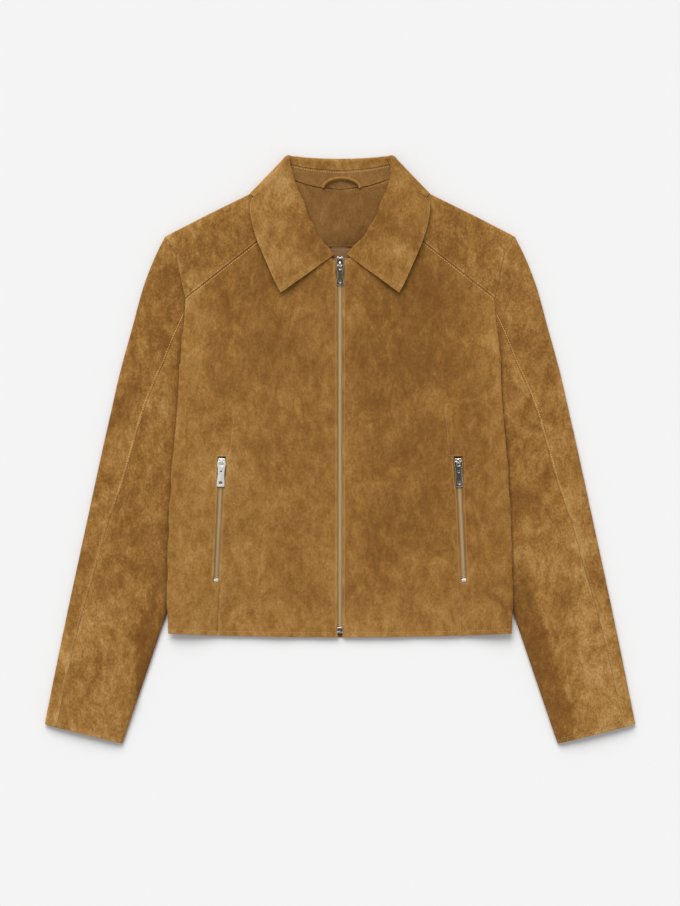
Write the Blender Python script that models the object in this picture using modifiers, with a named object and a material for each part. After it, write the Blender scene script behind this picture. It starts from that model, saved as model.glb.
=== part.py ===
"""A cropped suede jacket with a zip front, lying flat on its back with its collar turned down.

The origin is at the middle of the outline, on the surface the jacket lies on.
+Z is up out of the front, +Y points from the hem to the collar, +X is the wearer's left.
Tables are in millimetres and the meshes are made in metres.
"""
import math

import bmesh
import bpy
from mathutils import Matrix, Vector

MM = 0.001
GAP = 0.3  # between neighbouring pieces
SUEDE = 1.5  # wall of the suede pieces
FACING = 1.2  # wall of the back neck facing
LINING = 1.0  # wall of the lining
TAPE = 0.6  # wall of the zip tapes
POCKET_TAPE = 2.3  # width of a pocket tape that is made, beside its chain

# Side seam of the body, hem to armpit, on the wearer's left.
SIDE_SEAM = [  # y, x
    (-221, 206.5), (-196, 207), (-150, 206.7), (-100, 205.4), (-50, 203), (-4, 200), (40, 196),
    (75, 193.8), (95, 193.1), (103, 193), (105, 193),
]
# Armhole seam, armpit to shoulder tip.
ARMHOLE = [  # y, x
    (105, 193), (105.05, 193), (105.4, 192.98), (106.4, 192.95), (107.9, 192.9), (114, 192.2),
    (127, 191), (143, 188.5), (162, 186.6), (182, 186), (197, 189.5), (216, 193.6), (235, 198),
    (247, 204), (253.1, 207.9), (254.55, 208.95), (255.61, 209.72), (255.957, 209.97), (256, 210),
]
YOKE_CORNER_Y = 182  # where the yoke seam meets the armhole
SHOULDER_TIP = (210, 256)
NECK_POINT = (66, 327)  # inner end of the shoulder line
YOKE_NECK = (66, 266)  # inner end of the yoke seam
FRONT_NECK = (5.2, 226)  # top of the centre front edge
FRONT_EDGE_X = 5.2  # centre front edge, beside the zip
HEM_CENTRE_Y = -225.6
BACK_NECK = [(0, 312), (33, 315.7), (66, 327)]  # x, y of the back neck seam

# Inner edge of the sleeve where it lies under the body, and below that to the hem.
SLEEVE_TUCK = [  # y, x
    (-225, 217.8), (-196, 208), (-148, 192), (-100, 176), (-50, 163), (-15, 158), (15, 160),
    (42, 172), (62, 186), (80, 190), (256, 190),
]
# How high the body's side is held by the sleeve beneath it.
SIDE_LIFT = [  # y, height
    (-226, 5.6), (-196, 7), (-175, 7.3), (88, 7.3), (105, 6.4), (127, 4), (150, 2), (182, 0.8),
    (215, 0.4), (256, 0.3),
]
LIFT_RAMP = 68  # width over which the body rises onto the sleeve
FALL_LIFT = 1.85  # the back panel lies on the collar's back fall
BODY_THICK = 6.6  # front and back together
SLEEVE_HALF = 3.3  # half the thickness of a flattened sleeve

# Sleeve rings after the armhole, down to the cuff: outer fold, inner fold, how much of the
# armhole's curve is left, and how far the ring has come down to the surface at each fold.
SLEEVE_RINGS = [  # outer x, outer y, inner x, inner y, curve, down at outer, down at inner
    (221.5, 233, 198, 94, 0.62, 0.35, 0.5),
    (235, 199, 197, 80, 0.3, 0.8, 1),
    (250, 145, 187, 63, 0.08, 1, 1),
    (259, 113, 174, 43, 0, 1, 1),
    (266.5, 84, 163, 20, 0, 1, 1),
    (273, 55, 158, -4, 0, 1, 1),
    (285, 2, 165, -60, 0, 1, 1),
    (306, -95, 187, -133, 0, 1, 1),
    (330, -207, 222, -237, 0, 1, 1),
    (355, -330, 261.5, -353.4, 0, 1, 1),
]
# Diagonal sleeve seam that shows on the front.
SLEEVE_SEAM = [  # y, x
    (-345, 343), (-331, 340), (-260, 325), (-196, 309), (-131, 290), (-91, 279), (-41, 261),
    (8, 245), (83, 221), (142, 196.5), (152, 187.5), (170, 178), (256, 150),
]
HIDDEN_SEAM = 0.75  # hidden sleeve seam, as a part of the way from outer to inner fold

# The collar, from its front end to the crease over the shoulder.
LEAF = [  # roll x left, roll x right, roll y, edge x, edge y, neck x, neck y
    (7, -5.5, 235, 71, 188, 9.5, 230),
    (14, -12, 241, 78, 201, 21, 237.5),
    (25, -20, 253, 85, 217, 32, 244.8),
    (35, -29.5, 270, 92.5, 234, 48, 255.4),
    (46.5, -41, 293.5, 100.5, 254, 65.1, 268),
    (56, -50.4, 316, 107, 279, 65.2, 290),
    (60, -57, 334, 107.5, 297, 64.8, 310),
]
CREASE_ROLL = (63, 354.4)
CREASE_EDGE = (109, 311)
BACK_FOLD_Y = 349.5
BACK_FALL_Y = 275  # outer edge of the fall behind the neck, which is hidden
COLLAR_MID = 5.4  # height of the collar's crease at the shoulder
OUTER_LAYER = 4.65  # outer layer of the collar, from the crease's middle
CREST_LAYER = 1.55
SEAM_LAYER = 2.2
NECK_LAYER = 2.8
NECK_SEAM_GAP = 1.1
HINGE_NECK = (63.4, 327)  # neck seam at the crease
STRIP = 0.34  # upper collar inside the fold, as a part of the way to the neck seam

# Zips
CHAIN_WIDTH = 5.6
CHAIN_THICK = 2.3
BOX_THICK = 1.7  # bottom box and stops, on the tapes
CHAIN_DROP = 0.4  # chain top below the suede's surface
TAPE_DROP = 2.3  # tape below the suede surface
POCKET_TAPE_DROP = 2.31
TAPE_WIDTH = 11.5
MAIN_ZIP = (0, -213.5, 0, 226.8)  # x, y at the bottom and the top of the chain
POCKET_ZIP = (148.4, -155, 141.7, -15)
POCKET_SLOT = 10.2
PULL_WALL = 1.2
HINGE_RISE = 1.95  # pull tab's axis above the suede

BACK_NECK_FACING = [  # y, half width
    (243.3, 41), (262, 47), (285, 54), (305, 59), (320, 61),
]


def value_at(rows, key):
    """Read a table of rows (key, value) with straight lines between the rows."""
    rows = sorted(rows)
    if key <= rows[0][0]:
        return rows[0][1]
    for (low, first), (high, second) in zip(rows, rows[1:]):
        if key <= high:
            return first + (second - first) * (key - low) / (high - low)
    return rows[-1][1]


def smooth(value):
    """Ease from 0 to 1."""
    value = min(1, max(0, value))
    return value * value * (3 - 2 * value)


def mix(first, second, part):
    """Blend two numbers or two points."""
    if isinstance(first, (int, float)):
        return first + (second - first) * part
    return tuple(a + (b - a) * part for a, b in zip(first, second))


def distance_to(points, x, y):
    """Shortest distance from a point to a line of straight pieces."""
    nearest = 1e9
    here = Vector((x, y))
    for start, end in zip(points, points[1:]):
        start = Vector(start)
        along = Vector(end) - start
        part = min(1, max(0, (here - start).dot(along) / along.length_squared))
        nearest = min(nearest, (here - start - along * part).length)
    return nearest


SIDE_LINE = [(x, y) for y, x in SIDE_SEAM]
SHOULDER_LINE = [NECK_POINT, (111, 303), SHOULDER_TIP]


def body_lift(x, y):
    """Height of the back panel's underside above the surface."""
    x = abs(x)
    tuck = value_at(SLEEVE_TUCK, y)
    side = value_at(SIDE_LIFT, y) * smooth((x - tuck + LIFT_RAMP + 16) / LIFT_RAMP)
    fall = FALL_LIFT * smooth((y - 240) / 25) * min(1, max(0, (198 - x) / 86))
    return max(side, fall)


def body_thickness(x, y):
    """Front and back together, from outer face to outer face."""
    x = abs(x)
    neck = 0.5 * smooth((y - 190) / 35)
    side = 1.1 * smooth((x - 120) / 60) * (1 - smooth((y - 80) / 60))
    hem = 1.2 * smooth((-150 - y) / 70)
    return BODY_THICK + neck - side - hem


def body_top(x, y):
    """Height of the front's outer face, away from its rounded edges."""
    return body_lift(x, y) + body_thickness(x, y)


def rounded(x, y, top):
    """Height of the front or the back face, rounded at the side fold and the shoulder fold."""
    x = abs(x)
    low = body_lift(x, y)
    half = body_thickness(x, y) / 2
    middle = low + half
    away = min(distance_to(SIDE_LINE, x, y), distance_to(SHOULDER_LINE, x, y))
    near = 1 - min(1, away / half)
    reach = (half - GAP) * math.sqrt(max(0, 1 - near * near)) + GAP
    return middle + reach if top else middle - reach


def front_height(x, y):
    return rounded(x, y, True)


def back_height(x, y):
    return rounded(x, y, False)


def line_parts(points):
    """How far along the line each point is, from 0 to 1."""
    lengths = [0]
    for start, end in zip(points, points[1:]):
        lengths.append(lengths[-1] + math.dist(start, end))
    return [length / lengths[-1] for length in lengths]


def at_part(points, part):
    """The point a given part of the way along a line."""
    parts = line_parts(points)
    xs = [(p, point[0]) for p, point in zip(parts, points)]
    ys = [(p, point[1]) for p, point in zip(parts, points)]
    return value_at(xs, part), value_at(ys, part)


def patch(bottom, top, left, right, columns, rows):
    """A grid of plan points that fills four edges. Columns and rows are parts from 0 to 1."""
    grid = []
    for s in columns:
        line = []
        for t in rows:
            across = mix(at_part(left, t), at_part(right, t), s)
            up = mix(at_part(bottom, s), at_part(top, s), t)
            corners = mix(mix(bottom[0], bottom[-1], s), mix(top[0], top[-1], s), t)
            line.append((across[0] + up[0] - corners[0], across[1] + up[1] - corners[1]))
        grid.append(line)
    return grid


def lift_grid(grid, height):
    """Give each plan point its height."""
    return [[(x, y, height(x, y)) for x, y in line] for line in grid]


def mirrored(grid):
    """The same grid on the other side of the centre line, still facing the same way."""
    return [[(-x, y, z) for x, y, z in line] for line in reversed(grid)]


def flipped(grid):
    """The same grid facing the other way."""
    return list(reversed(grid))


PARTS = bpy.data.collections.new("SuedeJacket")
CUTTERS = bpy.data.collections.new("Cutters")


def new_material(name, colour, roughness, metallic):
    material = bpy.data.materials.new(name)
    material.use_nodes = True
    shader = material.node_tree.nodes["Principled BSDF"]
    shader.inputs["Base Color"].default_value = (*colour, 1)
    shader.inputs["Roughness"].default_value = roughness
    shader.inputs["Metallic"].default_value = metallic
    material.diffuse_color = (*colour, 1)
    return material


FINISHES = {  # kind: colour, roughness, metallic
    "suede": ((0.33, 0.15, 0.043), 0.95, 0),
    "suede_inside": ((0.24, 0.11, 0.035), 0.95, 0),
    "lining": ((0.235, 0.12, 0.051), 0.8, 0),
    "tape": ((0.55, 0.45, 0.3), 0.9, 0),
    "teeth": ((0.62, 0.5, 0.32), 0.45, 0.6),
    "metal": ((0.6, 0.57, 0.52), 0.3, 1),
}


def finish_object(obj, kind):
    """Give the object a material of its own and put it with the parts."""
    colour, roughness, metallic = FINISHES[kind]
    obj.data.materials.clear()
    obj.data.materials.append(new_material(obj.name, colour, roughness, metallic))
    for old in list(obj.users_collection):
        old.objects.unlink(obj)
    PARTS.objects.link(obj)


def grid_object(name, grid, kind, wall, centred=False):
    """Make a sheet from a grid of points and give it its wall, inwards or half each way."""
    rows = len(grid[0])
    vertices = [(x * MM, y * MM, z * MM) for line in grid for x, y, z in line]
    faces = []
    for i in range(len(grid) - 1):
        for j in range(rows - 1):
            here = i * rows + j
            faces.append((here, here + rows, here + rows + 1, here + 1))
    mesh = bpy.data.meshes.new(name)
    mesh.from_pydata(vertices, [], faces)
    mesh.update()
    obj = bpy.data.objects.new(name, mesh)
    PARTS.objects.link(obj)
    solid = obj.modifiers.new("Wall", "SOLIDIFY")
    solid.thickness = wall * MM
    solid.offset = 0 if centred else -1
    mesh.shade_smooth()
    finish_object(obj, kind)
    return obj


def even(count):
    return [i / count for i in range(count + 1)]


def offset_line(points, dx, dy):
    return [(x + dx, y + dy) for x, y in points]


def side_rounding(width, count):
    """Columns across a panel, closer together where its side edge is rounded."""
    radius = BODY_THICK / 2
    flat = [i / count * (width - radius) / width for i in range(count + 1)]
    edge = [1 - radius * (1 - math.sin(math.radians(a))) / width for a in (30, 60, 80, 90)]
    return flat + edge


def make_fronts():
    """The two front panels, up to the yoke seam and the neckline."""
    armhole = [(x, y) for y, x in ARMHOLE if y <= YOKE_CORNER_Y]
    right = SIDE_LINE[:-1] + armhole
    hem = [(FRONT_EDGE_X, HEM_CENTRE_Y), (60, -225.4), (150, -223.4), right[0]]
    left = [(FRONT_EDGE_X, HEM_CENTRE_Y), FRONT_NECK]
    top = [FRONT_NECK, YOKE_NECK, right[-1]]
    columns = sorted(side_rounding(201, 9) + [line_parts(top)[1]])
    grid = patch(hem, top, left, right, columns, line_parts(right))
    grid = lift_grid(grid, front_height)
    return {1: grid, -1: mirrored(grid)}


def pocket_cutter(side):
    """A bar through the front panel, as wide as the opening that shows the pocket zip."""
    x0, y0, x1, y1 = POCKET_ZIP
    start = Vector((x0 * side, y0 - 4, 0))
    end = Vector((x1 * side, y1 + 7, 0))
    along = end - start
    bpy.ops.mesh.primitive_cube_add(size=1)
    cutter = bpy.context.object
    cutter.name = "PocketCutterLeft" if side > 0 else "PocketCutterRight"
    middle = (start + end) / 2 * MM
    turn = math.atan2(along.y, along.x) - math.pi / 2
    cutter.location = (middle.x, middle.y, 9 * MM)
    cutter.rotation_euler = (0, 0, turn)
    cutter.scale = (POCKET_SLOT * MM, along.length * MM, 12 * MM)
    cutter.hide_render = True
    cutter.display_type = "WIRE"
    for old in list(cutter.users_collection):
        old.objects.unlink(cutter)
    CUTTERS.objects.link(cutter)
    return cutter


def make_yokes():
    """The two front yokes, from the yoke seam to the shoulder line."""
    armhole = [(x, y) for y, x in ARMHOLE if y >= YOKE_CORNER_Y]
    seam_rise = GAP * 1.2
    bottom = offset_line([YOKE_NECK, armhole[0]], 0, seam_rise)
    right = [bottom[-1]] + armhole[1:]
    top = [NECK_POINT, (111, 303), SHOULDER_TIP]
    left = [bottom[0], NECK_POINT]
    columns = sorted(even(6) + [line_parts(top)[1]])
    grid = patch(bottom, top, left, right, columns, line_parts(right))
    grid = lift_grid(grid, front_height)
    return {1: grid, -1: mirrored(grid)}


def neck_curve(x):
    """The back neck seam."""
    return value_at(BACK_NECK, abs(x))


def make_back():
    """The back panel, one piece from side to side."""
    armhole = [(x, y) for y, x in ARMHOLE]
    right = SIDE_LINE[:-1] + armhole
    left = [(-x, y) for x, y in right]
    hem = [left[0], (-150, -223.2), (-60, -225), (60, -225), (150, -223.2), right[0]]
    neck = [(x, neck_curve(x)) for x in (-66, -33, 0, 33, 66)]
    slope = [(111, 303), (160, 279.7), (210, 256)]
    top = [(-x, y) for x, y in reversed(slope)] + neck + slope
    width = 403
    half = side_rounding(width / 2, 1)[1:-1]
    columns = {0.5 - s / 2 for s in half} | {0.5 + s / 2 for s in half}
    columns = sorted(columns | set(line_parts(top)))
    grid = patch(hem, top, left, right, columns, line_parts(right))
    return flipped(lift_grid(grid, back_height))


def ring_zero(part):
    """A plan point on the armhole seam, from the shoulder tip to the armpit."""
    y = mix(SHOULDER_TIP[1], ARMHOLE[0][0], part)
    return value_at(ARMHOLE, y), y


def armhole_bow(part):
    """How far the armhole seam bends in from the straight line between its ends."""
    x, _ = ring_zero(part)
    return x - mix(SHOULDER_TIP[0], ARMHOLE[0][1], part)


def slab_height(part, width, top):
    """Height of a flattened sleeve's face, rounded at both folds."""
    away = min(part, 1 - part) * width
    near = 1 - min(1, away / SLEEVE_HALF)
    reach = SLEEVE_HALF * math.sqrt(max(0, 1 - near * near))
    return SLEEVE_HALF + reach if top else SLEEVE_HALF - reach


def sleeve_point(ring, part, top):
    """A point on the sleeve: its ring, its place from outer to inner fold, front or back."""
    x0, y0 = ring_zero(part)
    height0 = front_height(x0, y0) if top else back_height(x0, y0)
    if ring == 0:
        before, after = ring_zero(max(0, part - 0.005)), ring_zero(min(1, part + 0.005))
        along = Vector((after[0] - before[0], after[1] - before[1])).normalized()
        gap = GAP * 1.3 + 0.5 * smooth((part - 0.55) / 0.2) + 0.7 * smooth((0.12 - part) / 0.1)
        return x0 - along.y * gap, y0 + along.x * gap, height0
    ox, oy, ix, iy, bow, down_outer, down_inner = SLEEVE_RINGS[ring - 1]
    x = mix(ox, ix, part) + bow * armhole_bow(part)
    y = mix(oy, iy, part)
    slab = slab_height(part, math.dist((ox, oy), (ix, iy)), top)
    return x, y, mix(height0, slab, mix(down_outer, down_inner, smooth(part)))


def seam_part(ring):
    """Where the diagonal seam crosses a ring."""
    low, high = 0.02, 0.98
    for _ in range(30):
        part = (low + high) / 2
        x, y, _ = sleeve_point(ring, part, True)
        if x > value_at(SLEEVE_SEAM, y):
            low = part
        else:
            high = part
    return part


def fold_parts(ring):
    """Places close to a fold, where the sleeve's section is round."""
    if ring == 0:
        drop = SHOULDER_TIP[1] - ARMHOLE[0][0]
        outer = [(SHOULDER_TIP[1] - y) / drop for y in (256, 255.61, 254.55, 253.1)]
        inner = [(y - ARMHOLE[0][0]) / drop for y in (105, 105.4, 106.4, 107.9)]
        return outer, inner
    ox, oy, ix, iy = SLEEVE_RINGS[ring - 1][:4]
    width = math.dist((ox, oy), (ix, iy))
    parts = [SLEEVE_HALF * (1 - math.cos(math.radians(a))) / width for a in (0, 30, 60, 90)]
    return parts, parts


def spread(start, end, count):
    """Places after the start, evenly up to the end."""
    return [mix(start, end, (i + 1) / count) for i in range(count)]


def make_sleeve():
    """The two pieces of the left sleeve: the upper round the outer fold, and the under."""
    upper, under = [], []
    for ring in range(len(SLEEVE_RINGS) + 1):
        outer, inner = fold_parts(ring)
        gap = GAP / 110
        seam = seam_part(ring)
        inner = [1 - part for part in inner]
        below = [HIDDEN_SEAM - 4.5 * gap] + spread(HIDDEN_SEAM - 4.5 * gap, outer[3], 4)
        below += [outer[2], outer[1]]
        above = outer + spread(outer[3], seam - gap, 4)
        line = [sleeve_point(ring, part, False) for part in below]
        line += [sleeve_point(ring, part, True) for part in above]
        upper.append(line)
        above = [seam + gap] + spread(seam + gap, inner[3], 4) + [inner[2], inner[1]]
        below = [inner[0], inner[1], inner[2], inner[3]]
        below += spread(inner[3], HIDDEN_SEAM + 4.5 * gap, 2)
        line = [sleeve_point(ring, part, True) for part in above]
        line += [sleeve_point(ring, part, False) for part in below]
        under.append(line)
    return upper, under


def collar_sections():
    """Sections of the whole collar: roll, outer edge and neck seam, and the turn of the fold.

    A turn of 90 degrees is the front leaf on top, and -90 the fall behind the neck.
    """
    roll, edge = Vector(CREASE_ROLL), Vector(CREASE_EDGE)
    along = (edge - roll).normalized()
    outward = Vector((-along.y, along.x))
    reach = OUTER_LAYER + SUEDE / 2
    half = {}
    for side in (1, -1):
        sections = []
        for roll_left, roll_right, roll_y, edge_x, edge_y, neck_x, neck_y in LEAF:
            roll_x = roll_left if side > 0 else -roll_right
            sections.append(((roll_x, roll_y), (edge_x, edge_y), (neck_x, neck_y), 90))
        hinge_roll = tuple(roll - outward * reach)
        hinge_edge = tuple(edge - outward * reach)
        hinge_neck = HINGE_NECK
        for turn in (90, 60, 30, 0, -30, -60, -90):
            sections.append((hinge_roll, hinge_edge, hinge_neck, turn))
        for part in (0.18, 0.38, 0.58, 0.79, 1):
            keep = 1 - part
            fold = (hinge_roll[0] * keep, mix(BACK_FOLD_Y, hinge_roll[1], keep * keep))
            fall = (hinge_edge[0] * keep, mix(BACK_FALL_Y, hinge_edge[1], keep * keep))
            neck_x = hinge_neck[0] * keep
            neck = (neck_x, neck_curve(neck_x) + NECK_SEAM_GAP)
            sections.append((fold, fall, neck, -90))
        half[side] = sections
    return half, outward


def layered(plan, layer, turn, outward, on_front):
    """A point of the collar, from its place in plan and its layer about the crease."""
    angle = math.radians(turn)
    x = plan[0] + outward.x * layer * math.cos(angle)
    y = plan[1] + outward.y * layer * math.cos(angle)
    if turn < 90:
        return x, y, COLLAR_MID + layer * math.sin(angle)
    return x, y, body_top(x, y) + on_front


def fall_section(section, outward):
    """One section of the collar: inner strip, round fold, then the leaf or the fall."""
    roll, edge, neck, turn = section
    roll, edge, neck = Vector(roll), Vector(edge), Vector(neck)
    away = (roll - edge).normalized()
    bend = (OUTER_LAYER - CREST_LAYER) / 2
    roll = roll - away * (bend + SUEDE / 2)
    points = []
    crest_low = -SUEDE / 2 - (NECK_LAYER - CREST_LAYER)
    seam_low = -SUEDE / 2 - (NECK_LAYER - SEAM_LAYER)
    leaf_high = SUEDE / 2 + 0.5
    seam = roll.lerp(neck, STRIP)
    half = roll.lerp(neck, STRIP / 2)
    points.append(layered(seam, SEAM_LAYER, turn, outward, seam_low))
    middle = (SEAM_LAYER + CREST_LAYER) / 2
    points.append(layered(half, middle, turn, outward, (seam_low + crest_low) / 2))
    for step in (-90, -25, 35):
        swing = math.radians(step)
        spot = roll + away * bend * math.cos(swing)
        layer = (OUTER_LAYER + CREST_LAYER) / 2 + bend * math.sin(swing)
        rise = mix(crest_low, leaf_high, 0.5 + 0.5 * math.sin(swing))
        points.append(layered(spot, layer, turn, outward, rise))
    for part in (0, 0.14, 0.42, 0.72, 1):
        spot = roll.lerp(edge, part)
        puff = 1.1 * math.sin(math.pi * min(1, part * 1.05)) if turn == 90 else 0
        points.append(layered(spot, OUTER_LAYER, turn, outward, leaf_high + puff))
    return points


def stand_section(section, outward):
    """One section of the stand, from the strip's edge to the neck seam."""
    roll, edge, neck, turn = section
    roll, edge, neck = Vector(roll), Vector(edge), Vector(neck)
    away = (roll - edge).normalized()
    roll = roll - away * ((OUTER_LAYER - CREST_LAYER + SUEDE) / 2)
    length = (neck - roll).length
    start = STRIP + max(1.5 * NECK_SEAM_GAP / length, 0.42 if turn > 0 else 0)
    points = []
    for part in (0, 0.5, 1):
        spot = roll.lerp(neck, mix(start, 1 - GAP / length, part))
        layer = mix(SEAM_LAYER, NECK_LAYER, part)
        points.append(layered(spot, layer, turn, outward, -SUEDE / 2 - (NECK_LAYER - layer)))
    return points


def whole_collar(make_section):
    """Join the sections of both sides, left front end to right front end."""
    half, outward = collar_sections()
    left = [make_section(section, outward) for section in half[1]]
    right = [make_section(section, outward) for section in half[-1][:-1]]
    return left + mirrored(right)


def make_facing():
    """The back neck facing and the small part of the lining below it."""
    rows = [(y, half) for y, half in BACK_NECK_FACING]
    grid = []
    for s in even(8):
        line = []
        for y, half in rows:
            x = mix(-half, half, s)
            top = neck_curve(x * 0.8) - 0.6
            height = mix(rows[0][0], top, (y - rows[0][0]) / (rows[-1][0] - rows[0][0]))
            line.append((x, height))
        grid.append(line)
    rise = SUEDE + 0.6 + FACING
    facing = lift_grid(grid, lambda x, y: body_lift(x, y) + rise)
    columns = [(x, y) for x in (-34, -17, 0, 17, 34) for y in (212, 222, 232, 243)]
    grid = [columns[i * 4:i * 4 + 4] for i in range(5)]
    rise = SUEDE + 0.5 + LINING
    return facing, lift_grid(grid, lambda x, y: body_lift(x, y) + rise)


def ribbon(x0, y0, x1, y1, inner, outer, drop, count):
    """A strip beside a zip's line, a little under the front's surface."""
    grid = []
    along = Vector((x1 - x0, y1 - y0)).normalized()
    across = Vector((along.y, -along.x))
    for offset in (inner, (inner + outer) / 2, outer):
        line = []
        for part in even(count):
            x, y = mix((x0, y0), (x1, y1), part)
            x += across.x * offset
            y += across.y * offset
            line.append((x, y, body_top(x, y) - drop))
        grid.append(line)
    return grid


def box_part(bm, size, centre):
    """Add a block to a bmesh, in millimetres."""
    matrix = Matrix.Translation(Vector(centre) * MM)
    matrix = matrix @ Matrix.Diagonal((size[0] * MM, size[1] * MM, size[2] * MM, 1))
    return bmesh.ops.create_cube(bm, size=1, matrix=matrix)


def block_object(name, size, centre):
    """A block with its corners a little rounded, in a zip's own frame."""
    bm = bmesh.new()
    box_part(bm, size, centre)
    mesh = bpy.data.meshes.new(name)
    bm.to_mesh(mesh)
    bm.free()
    obj = bpy.data.objects.new(name, mesh)
    PARTS.objects.link(obj)
    return obj


def round_corners(obj, width, corner_edges_z=True):
    """Round the upright edges of a block."""
    bm = bmesh.new()
    bm.from_mesh(obj.data)
    edges = []
    for edge in bm.edges:
        run = edge.verts[0].co - edge.verts[1].co
        upright = abs(run.z) > 0.9 * run.length
        if upright == corner_edges_z:
            edges.append(edge)
    bmesh.ops.bevel(bm, geom=edges, offset=width * MM, segments=3, affect="EDGES", profile=0.5)
    bm.to_mesh(obj.data)
    bm.free()


def join_or_cut(obj, other, operation):
    """Add a Boolean with another block, which becomes a cutter."""
    for old in list(other.users_collection):
        old.objects.unlink(other)
    CUTTERS.objects.link(other)
    other.hide_render = True
    other.display_type = "WIRE"
    change = obj.modifiers.new(other.name, "BOOLEAN")
    change.operation = operation
    change.solver = "EXACT"
    change.object = other


# Slider blocks in its own frame: +Y to the closed end, z from the suede's surface, hinge at y 0.
SLIDER_BLOCKS = [  # name, width, length, height, centre x, centre y, centre z
    ("top", 9, 14.5, 1, 0, 3.45, 0.4),
    ("bottom", 8.4, 11, 0.56, 0, 4.6, -3.3),
    ("post", 2.8, 3.4, 4.2, 0, 8.1, -1.4),
    ("flange_a", 1.2, 12, 1.7, 3.85, 3.9, -0.55),
    ("flange_b", 1.2, 12, 1.7, -3.85, 3.9, -0.55),
    ("bridge", 2.4, 7, 1.1, 0, 1.2, 3.4),
    ("leg_low", 2.4, 1.2, 3, 0, -1.7, 2.2),
    ("leg_high", 2.4, 1.4, 3, 0, 4, 2.2),
]


BRIDGE_PARTS = ("bridge", "leg_low", "leg_high")
POCKET_SLIDE = -6.3  # the pocket sliders hang their pulls near the top


def make_slider(name, frame, slide):
    """A zip slider: two plates, a post between them, flanges and a bridge for the pull.

    slide moves all but the bridge along the chain.
    """
    made = None
    for part, width, length, height, x, y, z in SLIDER_BLOCKS:
        if part not in BRIDGE_PARTS:
            y += slide
        obj = block_object(name + "_" + part, (width, length, height), (x, y, z))
        if part in ("top", "bottom"):
            round_corners(obj, 2)
        obj.parent = frame
        if made is None:
            made = obj
            made.name = name
        else:
            join_or_cut(made, obj, "UNION")
    finish_object(made, "metal")
    return made


def make_pull(name, frame, length, width, hole):
    """A pull tab that turns about the bar inside the slider's bridge."""
    lean = -math.asin((HINGE_RISE - PULL_WALL / 2 - 0.45) / length)
    pivot = bpy.data.objects.new(name + "_axis", None)
    PARTS.objects.link(pivot)
    pivot.parent = frame
    pivot.location = (0, 0, HINGE_RISE * MM)
    pivot.rotation_euler = (-lean, 0, 0)
    start = 0.6
    tab = block_object(name, (width, length + start, PULL_WALL), (0, start - (length + start) / 2, 0))
    round_corners(tab, min(2.4, width / 4))
    eye = block_object(name + "_eye", (4, 4.4, 4), (0, -0.6 - 2.2, 0))
    waist_y = -length * 0.5
    slot = block_object(name + "_slot", (1.6, 4, 4), (0, waist_y + 5, 0))
    end = block_object(name + "_hole", (hole, hole, 4), (0, -length + 2.6 + hole / 2, 0))
    cuts = [eye, end] if length < 26 else [eye, slot, end]
    for cut in (eye, slot, end):
        cut.parent = pivot
        if cut in cuts:
            join_or_cut(tab, cut, "DIFFERENCE")
        else:
            bpy.data.objects.remove(cut)
    tab.parent = pivot
    finish_object(tab, "metal")
    return tab


def zip_frame(name, x, y, turn):
    """An empty on a zip's line at its slider's hinge, level with the cloth there."""
    slope = (body_top(x + 3, y) - body_top(x - 3, y)) / 6
    rise = (body_top(x, y + 6) - body_top(x, y - 6)) / 12
    frame = bpy.data.objects.new(name, None)
    PARTS.objects.link(frame)
    frame.location = (x * MM, y * MM, body_top(x, y) * MM)
    level = Matrix.Rotation(-math.atan(slope), 3, "Y") @ Matrix.Rotation(math.atan(rise), 3, "X")
    frame.rotation_euler = (Matrix.Rotation(turn, 3, "Z") @ level).to_euler()
    return frame


def make_zip(line, names):
    """Chain and bottom stop of a zip, as plain strips."""
    x0, y0, x1, y1 = line
    half = CHAIN_WIDTH / 2
    chain = ribbon(x0, y0, x1, y1, -half, half, CHAIN_DROP, 16 if x0 == 0 else 10)
    grid_object(names[0], chain, "teeth", CHAIN_THICK)
    along = Vector((x1 - x0, y1 - y0)).normalized()
    turn = math.atan2(along.y, along.x) - math.pi / 2
    length, width = (7, 7.4) if x0 == 0 else (3.4, 5.4)
    stop = block_object(names[1], (width, length, BOX_THICK), (0, 0, 0))
    round_corners(stop, 0.8)
    x = x0 - along.x * (length / 2 + GAP)
    y = y0 - along.y * (length / 2 + GAP)
    stop.location = (x * MM, y * MM, (body_top(x, y) - 0.6) * MM)
    slope = (body_top(x + 3, y) - body_top(x - 3, y)) / 6
    stop.rotation_euler = (0, -math.atan(slope), turn)
    finish_object(stop, "metal")


def make_loop():
    """The hanger loop, a rolled suede cord at the neck seam."""
    curve = bpy.data.curves.new("hanger_loop", "CURVE")
    curve.dimensions = "3D"
    curve.bevel_depth = 1.9 * MM
    curve.bevel_resolution = 1
    curve.use_fill_caps = True
    spline = curve.splines.new("POLY")
    count = 17
    spline.points.add(count - 1)
    for i in range(count):
        angle = math.pi * i / (count - 1)
        x = 1.8 - 22.2 * math.cos(angle) * (1 - 0.12 * math.sin(angle))
        y = 313.9 + 12 * math.sin(angle) ** 0.75
        z = 6.15 + 0.5 * math.sin(angle)
        spline.points[i].co = (x * MM, y * MM, z * MM, 1)
    obj = bpy.data.objects.new("hanger_loop", curve)
    PARTS.objects.link(obj)
    finish_object(obj, "suede_inside")


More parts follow.
